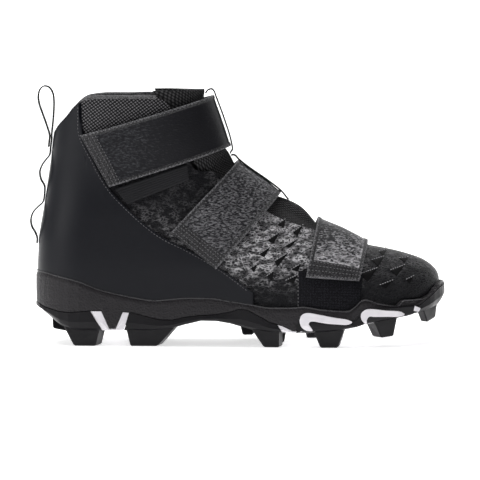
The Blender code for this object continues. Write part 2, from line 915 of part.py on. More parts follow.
def make_strap(name, material):
    strap = STRAPS[name]
    lift = TOE_STRAP_LIFT if name == "strap_forefoot" else STRAP_LIFT

    def spot(s, t):
        free, front = strap_line(strap, 1 - t)
        across = 2 * s - 1
        if across < 0:
            share = 1 - across * across
            side = LATERAL
        else:
            share = 1 - (1 - strap[4]) * across * across
            side = MEDIAL
        x, z = free + share * (front - free)
        return skin(x, z, side, lift)

    bm = sheet(STRAP_COLUMNS, STRAP_ROWS, spot)
    face_outwards(bm, inside_point())
    obj = add_piece(name, bm, material)
    thicken(obj, STRAP_THICKNESS, 1)
    return obj


def make_elastic(material):
    top_rear, foot_rear, top_front, foot_front = (
        np.array(p) * np.array([LENGTH, COLLAR_HEIGHT]) for p in ELASTIC_BAND
    )

    def spot(s, t):
        top = top_rear + s * (top_front - top_rear)
        foot = foot_rear + s * (foot_front - foot_rear)
        x, z = foot + t * (top - foot)
        return skin(x, z, LATERAL, OVERLAY_LIFT)

    bm = sheet(8, 2, spot)
    face_outwards(bm, inside_point())
    obj = add_piece("elastic_band", bm, material)
    thicken(obj, OVERLAY, 1)
    return obj


# Webbing: flat tapes that stand off the heel and the front as loops

def tape(name, line, width, material):
    """A flat tape of the given width along a side-view line in the middle plane."""
    line = np.asarray(line)

    def spot(s, t):
        x, z = line[round(s * (len(line) - 1))]
        return Vector((x, middle_y(x) + (t - 0.5) * width, z))

    bm = sheet(len(line) - 1, 1, spot, seam=False)
    obj = add_piece(name, bm, material)
    thicken(obj, WEBBING_THICKNESS, 0)
    return obj


def make_heel_webbing(material):
    seat = OVERLAY_LIFT + OVERLAY + 2 * GAP + WEBBING_THICKNESS / 2
    line = []
    for z_share, reach in HEEL_CHAIN:
        z = z_share * COLLAR_HEIGHT
        line.append((back_x(z) - seat - reach * BOW_REACH, z))
    base_x, base_z = line[-1]
    for back, up in PULL_LOOP:
        line.append((base_x - back * LOOP_WIDTH, base_z + up * LOOP_HEIGHT))
    layer = WEBBING_THICKNESS + GAP
    for up in (-0.3, -1.0):
        z = base_z + up * LOOP_STITCH
        line.append((back_x(z) - seat - layer - 0.0002, z))
    return tape("heel_webbing", rounded_line(line, 2), WEBBING_WIDTH, material)


def make_keeper(name, rows, material):
    seat = GAP + WEBBING_THICKNESS / 2
    line = []
    for z_share, stand in rows:
        (x, z), outward = front_at(z_share * COLLAR_HEIGHT)
        low = tongue_lift(z, 0.0)
        lift = low + stand * (STRAP_LIFT + STRAP_THICKNESS - low) + seat
        line.append((x + outward[0] * lift, z + outward[1] * lift))
    return tape(name, rounded_line(line, 3), WEBBING_WIDTH, material)


# Sole: rings round the shoe, taken from the form and moved outwards

def sole_stations():
    """Stations from heel to toe: close together at both ends and at each step."""
    steps = {row[0] for row in PETAL_TOP} | {0.004, 0.011, 0.035, 0.046, 0.108, 0.352, 0.833, 0.875}
    steps |= {0.971, 0.992, 0.997}
    return sorted(s for s in steps if 0 <= s <= 1)


def ring(height, out, hold=0.0, inner=False):
    """Points round the shoe at height(x), moved out by out.

    The outline is taken no lower than hold above the floor, where the form tucks in.
    A station's x is that of the sole's outer face; inner rings read height at their own x.
    """
    found = {LATERAL: [], MEDIAL: []}
    end = toe_x()
    for share in sole_stations():
        goal = share * LENGTH
        level = max(height(goal), floor_z(goal) + hold)
        start = back_x(level)
        for side in (LATERAL, MEDIAL):
            x, flat = goal, Vector((2 * share - 1, 0, 0))
            for _ in range(4 if 0 < share < 1 else 0):
                x = min(max(x, start + 1e-4), end - 1e-4)
                lifted = skin(x, level, side, 0.001) - skin(x, level, side)
                flat = Vector((lifted.x, lifted.y, 0)).normalized()
                x = goal - flat.x * SOLE_REACH
            x = start if share == 0 else end if share == 1 else min(max(x, start + 1e-4), end - 1e-4)
            spot = skin(x, level, side) if 0 < share < 1 else Vector((x, middle_y(x), 0))
            spot += flat * out
            spot.z = height(spot.x if inner or out < 0 else goal)
            found[side].append(spot)
    return [*found[LATERAL], *reversed(found[MEDIAL][1:-1])]


def add_panel(bm, corners):
    """A face, split along its lower diagonal so that facing surfaces stay parallel."""
    if len(corners) < 4:
        bm.faces.new(corners)
        return
    a, b, c, d = corners
    if a.co.z + c.co.z < b.co.z + d.co.z:
        bm.faces.new((a, b, c))
        bm.faces.new((a, c, d))
    else:
        bm.faces.new((a, b, d))
        bm.faces.new((b, c, d))


def ring_loft(rings):
    """A closed solid through rings, with its first and last ring filled across."""
    bm = bmesh.new()
    loops = [[bm.verts.new(p) for p in points] for points in rings]
    count = len(loops[0])
    for a, b in zip(loops, loops[1:]):
        for k in range(count):
            n = (k + 1) % count
            add_panel(bm, (a[k], a[n], b[n], b[k]))
    half = count // 2
    for loop in (loops[0], loops[-1]):
        for k in range(half):
            low, high = loop[-k] if k else loop[0], loop[-(k + 1)]
            corners = []
            for vert in (loop[k], loop[k + 1], high, low):
                if vert not in corners:
                    corners.append(vert)
            add_panel(bm, corners)
    turn_outwards(bm)
    if bm.calc_volume(signed=True) < 0:
        bmesh.ops.reverse_faces(bm, faces=bm.faces)
    return bm


def cup_inner(share):
    """Height at a share of the way from the cup's floor to its top edge."""
    return lambda x: floor_z(x) + share * (cup_top_z(x) - floor_z(x))


def make_midsole(material):
    outer = CUP_GAP + CUP_WALL
    petal_inner = outer - PETAL_WALL
    lip = CUP_GAP + CUP_EDGE

    def below_top(share):
        return lambda x: cup_top_z(x) - min(0.0032, 0.5 * (cup_top_z(x) - petal_top_z(x))) * share

    def above_petal(x):
        return petal_top_z(x) + PETAL_SEAT

    def low(x):
        return min(petal_top_z(x), plate_top_z(x)) + CUP_SEAT

    rings = [ring(cup_inner(share), CUP_GAP, 0.0, share < 1) for share in (0.0, 0.15, 0.4, 1.0)]
    rings += [
        ring(cup_top_z, lip),
        ring(below_top(1.0), outer),
        ring(lambda x: (below_top(1.0)(x) + above_petal(x)) / 2, outer + 0.0002, 0.005),
        ring(above_petal, outer, 0.005),
        ring(above_petal, petal_inner - GAP, 0.005),
        ring(low, petal_inner - 3 * GAP, 0.005),
        ring(lambda x: plate_top_z(x) + CUP_SEAT, -0.004, 0.005),
    ]
    return add_piece("midsole", ring_loft(rings), material)


def shell_rings(step):
    """The thin shell under the midsole, with its petals up the sides."""
    outer = CUP_GAP + CUP_WALL + step
    petal_inner = CUP_GAP + CUP_WALL - PETAL_WALL

    def low(x):
        return min(petal_top_z(x), plate_top_z(x))

    def between(share):
        return lambda x: underside_z(x) + share * (petal_top_z(x) - underside_z(x))

    return [
        ring(plate_top_z, -0.004, 0.005),
        ring(low, petal_inner - 0.0006, 0.005),
        ring(petal_top_z, petal_inner, 0.005),
        ring(petal_top_z, outer - 0.0003, 0.005),
        ring(between(0.45), outer, 0.005),
        ring(between(0.12), outer - 0.0018, 0.005),
        ring(underside_z, outer - 0.0045, 0.005),
    ]


def split_x(split, z):
    top, foot = split
    share = (z / SOLE_HEIGHT - SPLIT_FOOT) / (SPLIT_TOP - SPLIT_FOOT)
    return (foot + share * (top - foot)) * LENGTH


def between_splits(rear, front, gap):
    """Side-view outline between two slanting cuts, held back from each by a gap."""
    low, high = -0.2 * SOLE_HEIGHT, 1.3 * SOLE_HEIGHT
    left = [(split_x(rear, z) + gap, z) for z in (low, high)] if rear else [(-0.1, low), (-0.1, high)]
    right = [(split_x(front, z) - gap, z) for z in (high, low)] if front else [(0.5, high), (0.5, low)]
    return [*left, *right]


def stud_body(row, grow=0.0):
    """One tapered stud with its edges broken, rooted in the sole above it."""
    name, side, base_rear, base_front, tip_rear, tip_front = row[:6]
    skew_rear, skew_front, tip_rear_z, tip_front_z, depth, inset = row[6:]
    depth *= BALL_WIDTH
    inset *= BALL_WIDTH
    flare, taper = STUD_FLARE * BALL_WIDTH, STUD_TAPER * BALL_WIDTH
    corners = {}
    for high in (False, True):
        rear, front = (base_rear, base_front) if high else (tip_rear, tip_front)
        for forward in (False, True):
            for inner in (False, True):
                share = front if forward else rear
                if inner:
                    share += skew_front if forward else skew_rear
                x = share * LENGTH
                if high:
                    z = underside_z(x) + STUD_BED
                else:
                    z = (tip_front_z if forward else tip_rear_z) * SOLE_HEIGHT
                level = floor_z(x) + 0.005
                if side:
                    edge = half_width(min(x, toe_x()), level, side) + CUP_GAP + CUP_WALL
                    edge -= inset + (0.0012 if high else taper + 0.0012)
                    reach = edge - (depth + flare if high else depth) if inner else edge
                    y = middle_y(x) + side * reach
                else:
                    reach = depth / 2 + (flare / 2 if high else 0)
                    y = reach if inner else -reach
                dx = grow if forward else -grow
                outward = (side or 1) * (-1 if inner else 1) if side else (1 if inner else -1)
                y += outward * grow
                corners[(forward, inner, high)] = Vector((x + dx, y, z + (grow if high else 0)))
    bm = bmesh.new()
    bmesh.ops.create_cube(bm, size=1.0)
    order = {vert: (vert.co.x > 0, vert.co.y > 0, vert.co.z > 0) for vert in bm.verts}
    for vert, key in order.items():
        vert.co = corners[key]
    turn_outwards(bm)
    if not grow:
        edges = [e for e in bm.edges if not all(order[v][2] for v in e.verts)]
        bmesh.ops.bevel(
            bm, geom=edges, offset=STUD_EDGE, segments=1, affect="EDGES", profile=0.5, material=-1
        )
    return bm


def make_outsole(black, white):
    """Black shells at heel, arch and toe, the white plate between them, and the studs."""
    shells = (
        ("outsole_heel", None, HEEL_SPLIT, ("heel_rear_outer", "heel_rear_inner", "heel_bevel")),
        (
            "outsole_arch",
            ARCH_SPLIT,
            BALL_SPLIT,
            ("heel_front_outer", "heel_front_inner", "ball_rear_outer", "ball_rear_inner", "middle"),
        ),
        ("outsole_toe", TOE_SPLIT, None, ("toe_outer", "toe_inner")),
    )
    rows = {row[0]: row for row in STUDS}
    for name, rear, front, studs in shells:
        obj = add_piece(name, ring_loft(shell_rings(PETAL_STEP)), black)
        combine(obj, add_cutter(name + "_limits", prism(between_splits(rear, front, GAP / 2))), "INTERSECT")
        for stud in studs:
            combine(obj, add_cutter(stud + "_stud", stud_body(rows[stud])), "UNION")
    plates = (
        ("plate_heel", HEEL_SPLIT, ARCH_SPLIT, ("heel_rear_outer", "heel_rear_inner")),
        ("plate_forefoot", BALL_SPLIT, TOE_SPLIT, (*CROSSING_STUDS, *SET_STUDS)),
    )
    for name, rear, front, studs in plates:
        obj = add_piece(name, ring_loft(shell_rings(0.0)), white)
        combine(obj, add_cutter(name + "_limits", prism(between_splits(rear, front, GAP / 2))), "INTERSECT")
        for stud in studs:
            combine(obj, add_cutter(stud + "_pocket", stud_body(rows[stud], 3 * GAP)), "DIFFERENCE")
    for stud in SET_STUDS:
        add_piece("stud_" + stud, stud_body(rows[stud]), black)


# Insole: a moulded bed that drops into the foot of the upper

def make_insole(material):
    inward = -(UPPER_WALL + 3 * CUP_GAP)
    base = CUP_GAP + GAP

    def level(rise):
        return lambda x: floor_z(x) + base + rise

    rings = [
        ring(level(0.0), inward - 0.0018, 0.003),
        ring(level(0.0012), inward - 0.0010, 0.003),
        ring(level(INSOLE_THICKNESS), inward - 0.0010, 0.004),
    ]
    return add_piece("insole", ring_loft(rings), material)


def stand_on_origin():
    """Puts the origin on the ground under the middle of the finished shoe."""
    bpy.context.view_layer.update()
    graph = bpy.context.evaluated_depsgraph_get()
    low, high = Vector((1.0, 1.0, 1.0)), Vector((-1.0, -1.0, -1.0))
    for obj in parts.objects:
        if obj.type != "MESH":
            continue
        mesh = obj.evaluated_get(graph).to_mesh()
        for vert in mesh.vertices:
            low = Vector(map(min, low, vert.co))
            high = Vector(map(max, high, vert.co))
        obj.evaluated_get(graph).to_mesh_clear()
    root.location = (-(low.x + high.x) / 2, -(low.y + high.y) / 2, -low.z)
    bpy.context.view_layer.update()


parts, tools, root = clear_scene()
textured_skin = finish_of("textured_skin", (0.022, 0.022, 0.024), 0.45)
smooth_skin = finish_of("smooth_skin", (0.018, 0.017, 0.018), 0.50)
knit = finish_of("knit_mesh", (0.020, 0.020, 0.021), 0.90)
strap_skin = finish_of("strap_skin", (0.030, 0.030, 0.033), 0.40)
webbing = finish_of("webbing", (0.012, 0.012, 0.013), 0.85)
foam = finish_of("cup_rubber", (0.020, 0.020, 0.021), 0.55)
black_rubber = finish_of("stud_rubber", (0.014, 0.014, 0.015), 0.38)
white_plate = finish_of("white_plate", (0.80, 0.79, 0.81), 0.40)
lining = finish_of("insole_fabric", (0.015, 0.015, 0.016), 0.95)

make_upper(textured_skin)
make_quarter(smooth_skin)
make_tongue(knit)
make_insole(lining)
make_midsole(foam)
make_outsole(black_rubber, white_plate)
for strap_name in STRAPS:
    make_strap(strap_name, strap_skin)
make_elastic(webbing)
make_heel_webbing(webbing)
make_keeper("keeper_ankle", ANKLE_KEEPER, webbing)
make_keeper("keeper_instep", INSTEP_KEEPER, webbing)
stand_on_origin()
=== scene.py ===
# High-top american football cleat for the right foot, dressed for its portrait.
# +X runs from heel to toe, -Y is the outer side of the foot and +Z is up.

import math

import bmesh
import bpy
import numpy as np
from mathutils import Matrix, Vector


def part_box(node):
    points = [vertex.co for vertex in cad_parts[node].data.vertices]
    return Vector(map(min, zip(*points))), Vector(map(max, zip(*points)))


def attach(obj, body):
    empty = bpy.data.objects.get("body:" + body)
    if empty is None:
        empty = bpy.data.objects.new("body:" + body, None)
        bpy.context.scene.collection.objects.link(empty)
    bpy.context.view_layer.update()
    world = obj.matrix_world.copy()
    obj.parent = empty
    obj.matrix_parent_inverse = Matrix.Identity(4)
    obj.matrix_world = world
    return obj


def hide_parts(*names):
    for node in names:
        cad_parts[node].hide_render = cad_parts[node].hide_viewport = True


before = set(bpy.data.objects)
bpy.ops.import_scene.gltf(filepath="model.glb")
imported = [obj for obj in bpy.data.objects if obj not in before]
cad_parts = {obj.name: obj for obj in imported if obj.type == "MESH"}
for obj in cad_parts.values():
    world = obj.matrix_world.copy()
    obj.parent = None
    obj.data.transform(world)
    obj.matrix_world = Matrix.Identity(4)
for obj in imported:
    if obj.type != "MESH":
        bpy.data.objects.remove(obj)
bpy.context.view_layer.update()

# The last
# The shoe is pulled over a foot-shaped last, and every sewn piece lies on that one form.
# It is given from the side by its front line and heel line, and from above by its plan.
LENGTH = 0.300
BALL_WIDTH = 0.101
HEEL_WIDTH = 0.070
ANKLE_WIDTH = 0.068
COLLAR_HEIGHT = 0.184
TOE_SWING = 0.008
SOLE_HEIGHT = 0.056
CUP_FLOOR = 0.025
LATERAL, MEDIAL = -1, 1
FRONT_LINE = (
    (0.9870, 0.096), (0.9880, 0.140), (0.9885, 0.195), (0.9875, 0.236), (0.9820, 0.278),
    (0.9660, 0.308), (0.9420, 0.333), (0.8950, 0.359), (0.8450, 0.378), (0.8080, 0.391),
    (0.7800, 0.414), (0.7440, 0.444), (0.6850, 0.485), (0.6420, 0.531), (0.5950, 0.576),
    (0.5640, 0.618), (0.5270, 0.661), (0.4900, 0.705), (0.4720, 0.740), (0.4620, 0.782),
    (0.4430, 0.877), (0.4230, 0.970), (0.4190, 0.992), (0.4120, 1.033),
)
BACK_LINE = (
    (0.100, 0.0230), (0.140, 0.0160), (0.190, 0.0115), (0.245, 0.0100), (0.304, 0.0100),
    (0.359, 0.0115), (0.418, 0.0130), (0.459, 0.0170), (0.537, 0.0255), (0.597, 0.0312),
    (0.656, 0.0368), (0.735, 0.0438), (0.795, 0.0475), (0.846, 0.0520), (1.040, 0.0650),
)
PLAN = (
    (0.00, 0.336, 0.330), (0.15, 0.338, 0.325), (0.24, 0.340, 0.302), (0.34, 0.354, 0.274),
    (0.44, 0.384, 0.276), (0.53, 0.420, 0.312), (0.61, 0.452, 0.380), (0.68, 0.472, 0.434),
    (0.73, 0.477, 0.459), (0.78, 0.474, 0.467), (0.85, 0.462, 0.462), (0.92, 0.446, 0.448),
    (1.00, 0.428, 0.428),
)
ANKLE = ((0.20, 0.480), (0.33, 0.470), (0.50, 0.475), (0.66, 0.460), (0.82, 0.485), (1.04, 0.515))
SWING = ((0.0, 0.0), (0.70, 0.0), (0.80, 0.12), (0.88, 0.40), (0.94, 0.72), (1.0, 1.0))
FRONT_REACH = ((0.00, 0.150), (0.45, 0.150), (0.60, 0.165), (0.75, 0.195), (1.00, 0.205))
BACK_REACH = ((0.00, 0.50), (0.30, 0.52), (0.60, 0.60), (1.04, 0.62))
FLOOR_LINE = (
    (0.00, 1.40), (0.04, 1.22), (0.10, 1.03), (0.22, 0.99), (0.32, 1.03), (0.42, 1.13),
    (0.51, 0.97), (0.61, 0.80), (0.68, 0.79), (0.76, 0.86), (0.845, 1.03), (0.91, 1.20),
    (0.96, 1.29), (1.00, 1.40),
)

toe_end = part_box("outsole_toe")[1].x
middle_line = (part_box("heel_webbing")[0].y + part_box("heel_webbing")[1].y) / 2
HEEL_POINT = Vector((toe_end - LENGTH - 0.0002, middle_line, 0.0))


def monotone(rows, column=1):
    """A smooth function through a table's rows that never overshoots them."""
    x = np.array([row[0] for row in rows], float)
    y = np.array([row[column] for row in rows], float)
    width = np.diff(x)
    rise = np.diff(y) / width
    slope = np.zeros(len(x))
    slope[0], slope[-1] = rise[0], rise[-1]
    for i in range(1, len(x) - 1):
        if rise[i - 1] * rise[i] > 0:
            near, far = 2 * width[i] + width[i - 1], width[i] + 2 * width[i - 1]
            slope[i] = (near + far) / (near / rise[i - 1] + far / rise[i])

    def value(at):
        at = min(max(at, x[0]), x[-1])
        i = min(int(np.searchsorted(x, at, side="right")) - 1, len(width) - 1)
        t = (at - x[i]) / width[i]
        return (
            (1 + 2 * t) * (1 - t) ** 2 * y[i]
            + t * (1 - t) ** 2 * width[i] * slope[i]
            + t * t * (3 - 2 * t) * y[i + 1]
            - t * t * (1 - t) * width[i] * slope[i + 1]
        )

    return value


def rounded_line(points, steps=6):
    """Points on a smooth curve through the given ones, dense enough for distances."""
    points = [np.array(p, float) for p in points]
    ends = [2 * points[0] - points[1], *points, 2 * points[-1] - points[-2]]
    found = []
    for a, b, c, d in zip(ends, ends[1:], ends[2:], ends[3:]):
        span = [max(np.linalg.norm(q - p), 1e-9) ** 0.5 for p, q in ((a, b), (b, c), (c, d))]
        out = (c - b) + span[1] * ((b - a) / span[0] - (c - a) / (span[0] + span[1]))
        back = (c - b) + span[1] * ((d - c) / span[2] - (d - b) / (span[1] + span[2]))
        for k in range(steps):
            t = k / steps
            found.append(
                (2 * t**3 - 3 * t * t + 1) * b
                + (t**3 - 2 * t * t + t) * out
                + (3 * t * t - 2 * t**3) * c
                + (t**3 - t * t) * back
            )
    return np.array([*found, points[-1]])


def along(points, share):
    """The point at a share of a line's length."""
    points = np.asarray(points, float)
    steps = np.linalg.norm(np.diff(points, axis=0), axis=1)
    reach = np.concatenate([[0.0], np.cumsum(steps)])
    at = min(max(share, 0.0), 1.0) * reach[-1]
    return np.array([np.interp(at, reach, points[:, k]) for k in range(points.shape[1])])


def side_points(rows):
    """Rows of LENGTH and COLLAR_HEIGHT shares as side-view points in metres."""
    return [(x * LENGTH, z * COLLAR_HEIGHT) for x, z in rows]


def eased(t):
    t = min(max(t, 0.0), 1.0)
    return t * t * (3 - 2 * t)


front_points = rounded_line(side_points(FRONT_LINE))
front_starts = front_points[:-1]
front_steps = np.diff(front_points, axis=0)
front_squares = (front_steps**2).sum(axis=1)
back_of = monotone(BACK_LINE)
outer_plan, inner_plan = monotone(PLAN, 1), monotone(PLAN, 2)
ankle_of = monotone(ANKLE)
swing_of = monotone(SWING)
front_reach_of = monotone(FRONT_REACH)
back_reach_of = monotone(BACK_REACH)
floor_of = monotone(FLOOR_LINE)


def back_x(z):
    return back_of(z / COLLAR_HEIGHT) * LENGTH


def middle_y(x):
    return swing_of(x / LENGTH) * TOE_SWING


def floor_z(x):
    return floor_of(x / LENGTH) * CUP_FLOOR


def front_foot(x, z):
    """Depth behind the front line, and that line's outward normal there."""
    away = np.array([x, z]) - front_starts
    t = np.clip((away * front_steps).sum(axis=1) / front_squares, 0.0, 1.0)
    gap = away - t[:, None] * front_steps
    distance = (gap**2).sum(axis=1)
    i = int(distance.argmin())
    along_line = front_steps[i] / math.sqrt(front_squares[i])
    outward = np.array([along_line[1], -along_line[0]])
    side = float(gap[i] @ outward)
    depth = math.sqrt(distance[i])
    return (depth if side <= 0 else -depth), outward


def closing(share, power):
    if share <= 0:
        return 0.0
    return (1 - (1 - min(share, 1.0)) ** power) ** 0.5


def half_width(x, z, side):
    """Half width of the shoe's outer form at a side-view point, on one side."""
    share = x / LENGTH
    plan = (outer_plan if side == LATERAL else inner_plan)(share) * BALL_WIDTH
    heel = eased((0.34 - share) / 0.16)
    plan *= 1 + heel * (HEEL_WIDTH / (0.693 * BALL_WIDTH) - 1)
    ankle = ankle_of(z / COLLAR_HEIGHT) * ANKLE_WIDTH
    rise = eased((z / COLLAR_HEIGHT - 0.30) / 0.32)
    width = plan + (ankle - plan) * rise
    depth, _ = front_foot(x, z)
    width *= closing(depth / (front_reach_of(share) * LENGTH), 2.2)
    width *= closing((x - back_x(z)) / (back_reach_of(z / COLLAR_HEIGHT) * HEEL_WIDTH), 2.0)
    tuck = min(max(1 - (z - floor_z(x)) / 0.010, 0.0), 1.0)
    return width * (1 - 0.05 * tuck * tuck)


def skin(x, z, side, lift=0.0):
    """A point on the last at a side-view point, lifted along its normal."""
    depth, outward = front_foot(x, z)
    back = x - back_x(z)
    middle = middle_y(x)
    if depth < 2e-5:
        return Vector((x + outward[0] * lift, middle, z + outward[1] * lift))
    if back < 2e-5:
        lean = (back_x(z + 1e-3) - back_x(z - 1e-3)) / 2e-3
        size = math.hypot(1.0, lean)
        return Vector((x - lift / size, middle, z + lift * lean / size))
    step = min(1e-4, 0.4 * depth, 0.4 * back)
    width = half_width(x, z, side)
    run = (half_width(x + step, z, side) - half_width(x - step, z, side)) / (2 * step)
    climb = (half_width(x, z + step, side) - half_width(x, z - step, side)) / (2 * step)
    swing = (middle_y(x + step) - middle_y(x - step)) / (2 * step)
    normal = Vector((-run - side * swing, side, -climb)).normalized()
    return Vector((x, middle + side * width, z)) + normal * lift


# Upper
# One lasted shell of wrinkled coated textile, cut out at the throat and the collar.
# Its wall is 2.4 mm thick, and foam fills it to 6 mm round the back of the collar.
UPPER_WALL = 0.0024
COLLAR_PAD = 0.0060
CUP_GAP = 0.0005
COLLAR_RIM = (
    (0.0520, 0.843), (0.0640, 0.875), (0.0840, 0.913), (0.1030, 0.953), (0.1180, 0.974),
    (0.1500, 0.984), (0.2310, 0.985), (0.2800, 0.987), (0.2960, 0.984),
)
THROAT = (
    (0.2960, 0.984), (0.312, 0.972), (0.330, 0.942), (0.352, 0.850), (0.372, 0.740),
    (0.392, 0.695), (0.436, 0.688), (0.470, 0.649), (0.510, 0.592), (0.580, 0.515),
    (0.640, 0.476), (0.690, 0.455), (0.714, 0.4615),
)
RIM_SHARE, THROAT_SHARE = 0.30, 0.76
TOE_TURN, TOE_TIP, THROAT_FOOT, HEEL_TIP = 0.885, 0.991, 0.7145, 0.0105


def sheet(columns, rows, place, size=None):
    """A sheet of quads whose points are place(s, t), with a UV map in metres along size."""
    bm = bmesh.new()
    bmesh.ops.create_grid(bm, x_segments=columns, y_segments=rows, size=0.5)
    uv = bm.loops.layers.uv.new("UVMap")
    wide, high = size or (1.0, 1.0)
    for face in bm.faces:
        for loop in face.loops:
            loop[uv].uv = ((loop.vert.co.x + 0.5) * wide, (loop.vert.co.y + 0.5) * high)
    for vert in bm.verts:
        vert.co = place(vert.co.x + 0.5, vert.co.y + 0.5)
    bmesh.ops.remove_doubles(bm, verts=bm.verts, dist=2e-5)
    return bm


def face_outwards(bm, inside):
    """Turns an open sheet so that its faces look away from an inner point."""
    bm.normal_update()
    bmesh.ops.recalc_face_normals(bm, faces=bm.faces)
    bm.normal_update()
    votes = sum(
        face.calc_area() * (1 if face.normal.dot(face.calc_center_median() - inside) > 0 else -1)
        for face in bm.faces
    )
    if votes < 0:
        bmesh.ops.reverse_faces(bm, faces=bm.faces)


def finished(name, bm, *materials, slot, smooth=True):
    """Sets a mesh down in the shoe's place as a piece that rides on it."""
    bmesh.ops.translate(bm, verts=bm.verts, vec=HEEL_POINT)
    mesh = bpy.data.meshes.new(name)
    bm.to_mesh(mesh)
    bm.free()
    for material in materials:
        mesh.materials.append(material)
    if smooth:
        mesh.shade_smooth()
    obj = bpy.data.objects.new(name, mesh)
    bpy.context.scene.collection.objects.link(obj)
    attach(obj, "root")
    return obj


def walled(obj, thickness, offset=1, bevel=0.0, lining=0):
    """Gives a sheet its thickness, outwards at offset 1, and breaks its edges."""
    wall = obj.modifiers.new("wall", "SOLIDIFY")
    wall.thickness = thickness
    wall.offset = offset
    wall.use_quality_normals = True
    wall.material_offset = lining
    if bevel:
        edge = obj.modifiers.new("edge", "BEVEL")
        edge.width = bevel
        edge.segments = 2
        edge.limit_method = "ANGLE"
        edge.angle_limit = math.radians(50)
        edge.harden_normals = False
    return wall


def patch(foot, top, rear, front):
    """A side-view surface between four lines, each a function from 0 to 1."""

    def place(s, t):
        blend = (1 - t) * foot(s) + t * top(s) + (1 - s) * rear(t) + s * front(t)
        corners = (1 - s) * (1 - t) * foot(0) + s * (1 - t) * foot(1)
        return blend - corners - (1 - s) * t * top(0) - s * t * top(1)

    return place


def wired(material, kind, links=(), **values):
    """Adds a node, sets its named inputs and settings, and links outputs into it."""
    tree = material.node_tree
    node = tree.nodes.new(kind)
    for key, value in values.items():
        if key in node.inputs:
            node.inputs[key].default_value = value
        else:
            setattr(node, key, value)
    for output, entry in links:
        tree.links.new(output, node.inputs[entry])
    return node


def finish_of(name, colour, roughness, specular=0.2):
    material = bpy.data.materials.new(name)
    material.use_nodes = True
    shader = material.node_tree.nodes["Principled BSDF"]
    shader.inputs["Base Color"].default_value = (*colour, 1.0)
    shader.inputs["Roughness"].default_value = roughness
    shader.inputs["Specular IOR Level"].default_value = specular
    return material, shader


def pattern(material, kind, space, **values):
    """A texture or mapping node laid straight on the piece's own coordinates."""
    place = wired(material, "ShaderNodeTexCoord")
    return wired(material, kind, [(place.outputs[space], "Vector")], **values)


def coloured(material, shader, height, low, high, stops=(0.3, 0.7)):
    """Colours the finish from low to high by a texture's value."""
    ramp = wired(material, "ShaderNodeValToRGB", [(height, "Fac")])
    for element, position, colour in zip(ramp.color_ramp.elements, stops, (low, high)):
        element.position = position
        element.color = (*colour, 1.0)
    material.node_tree.links.new(ramp.outputs["Color"], shader.inputs["Base Color"])


def ranged(material, value, low, high, to_low=0.0, to_high=1.0):
    """A value eased from to_low at low to to_high at high."""
    node = wired(material, "ShaderNodeMapRange", [(value, "Value")], interpolation_type="SMOOTHSTEP")
    for entry, number in zip(("From Min", "From Max", "To Min", "To Max"), (low, high, to_low, to_high)):
        node.inputs[entry].default_value = number
    return node.outputs["Result"]


def multiplied(material, first, *others):
    for other in others:
        node = wired(material, "ShaderNodeMath", [(first, 0), (other, 1)], operation="MULTIPLY")
        first = node.outputs["Value"]
    return first


def bumped(material, shader, height, strength, distance):
    bump = wired(material, "ShaderNodeBump", [(height, "Height")], Strength=strength, Distance=distance)
    material.node_tree.links.new(bump.outputs["Normal"], shader.inputs["Normal"])
    return bump


# The light crinkle lines are painted highlight on the black coated textile, broken up by noise and dimmed
# towards the bottom, top, toe and heel of the upper where less light falls; their bump is real relief.
wrinkled, shader = finish_of("wrinkled_skin", (0.020, 0.020, 0.022), 0.45, 0.15)
place = wired(wrinkled, "ShaderNodeTexCoord")
parts = wired(wrinkled, "ShaderNodeSeparateXYZ", [(place.outputs["Object"], "Vector")])
lean = wired(wrinkled, "ShaderNodeMapping", [(place.outputs["Object"], "Vector")],
             Rotation=(0.0, math.radians(-18), 0.0), Scale=(1.0, 1.0, 2.0))
shake = wired(wrinkled, "ShaderNodeTexNoise", [(lean.outputs["Vector"], "Vector")], Scale=260.0)
shaken = wired(wrinkled, "ShaderNodeVectorMath", [(shake.outputs["Color"], 0), (lean.outputs["Vector"], 2)],
               operation="MULTIPLY_ADD")
shaken.inputs[1].default_value = (0.006, 0.006, 0.006)
crease = wired(wrinkled, "ShaderNodeTexVoronoi", [(shaken.outputs["Vector"], "Vector")],
               feature="DISTANCE_TO_EDGE", Scale=330.0)
highlight_breakup = wired(wrinkled, "ShaderNodeTexNoise", [(lean.outputs["Vector"], "Vector")], Scale=150.0, Detail=4.0)
line = ranged(wrinkled, crease.outputs["Distance"], 0.24, 0.02, 0.12, 1.0)
painted_crinkle_highlight = multiplied(
    wrinkled,
    line,
    ranged(wrinkled, highlight_breakup.outputs["Fac"], 0.40, 0.62, 0.18, 1.0),
    ranged(wrinkled, parts.outputs["Z"], 0.038, 0.066, 0.05, 1.0),
    ranged(wrinkled, parts.outputs["Z"], 0.108, 0.084, 0.30, 1.0),
    ranged(wrinkled, parts.outputs["X"], 0.100, 0.072, 0.14, 1.0),
    ranged(wrinkled, parts.outputs["X"], -0.026, 0.000, 0.22, 1.0),
)
coloured(wrinkled, shader, painted_crinkle_highlight, (0.0035, 0.0035, 0.0050), (0.56, 0.55, 0.57), (0.02, 1.0))
bumped(wrinkled, shader, line, 0.8, 0.0008)

knit_lining, shader = finish_of("knit_lining", (0.020, 0.020, 0.021), 0.9)
loops = pattern(knit_lining, "ShaderNodeTexVoronoi", "Object", Scale=900.0)
bumped(knit_lining, shader, loops.outputs["Distance"], 0.6, 0.0006)

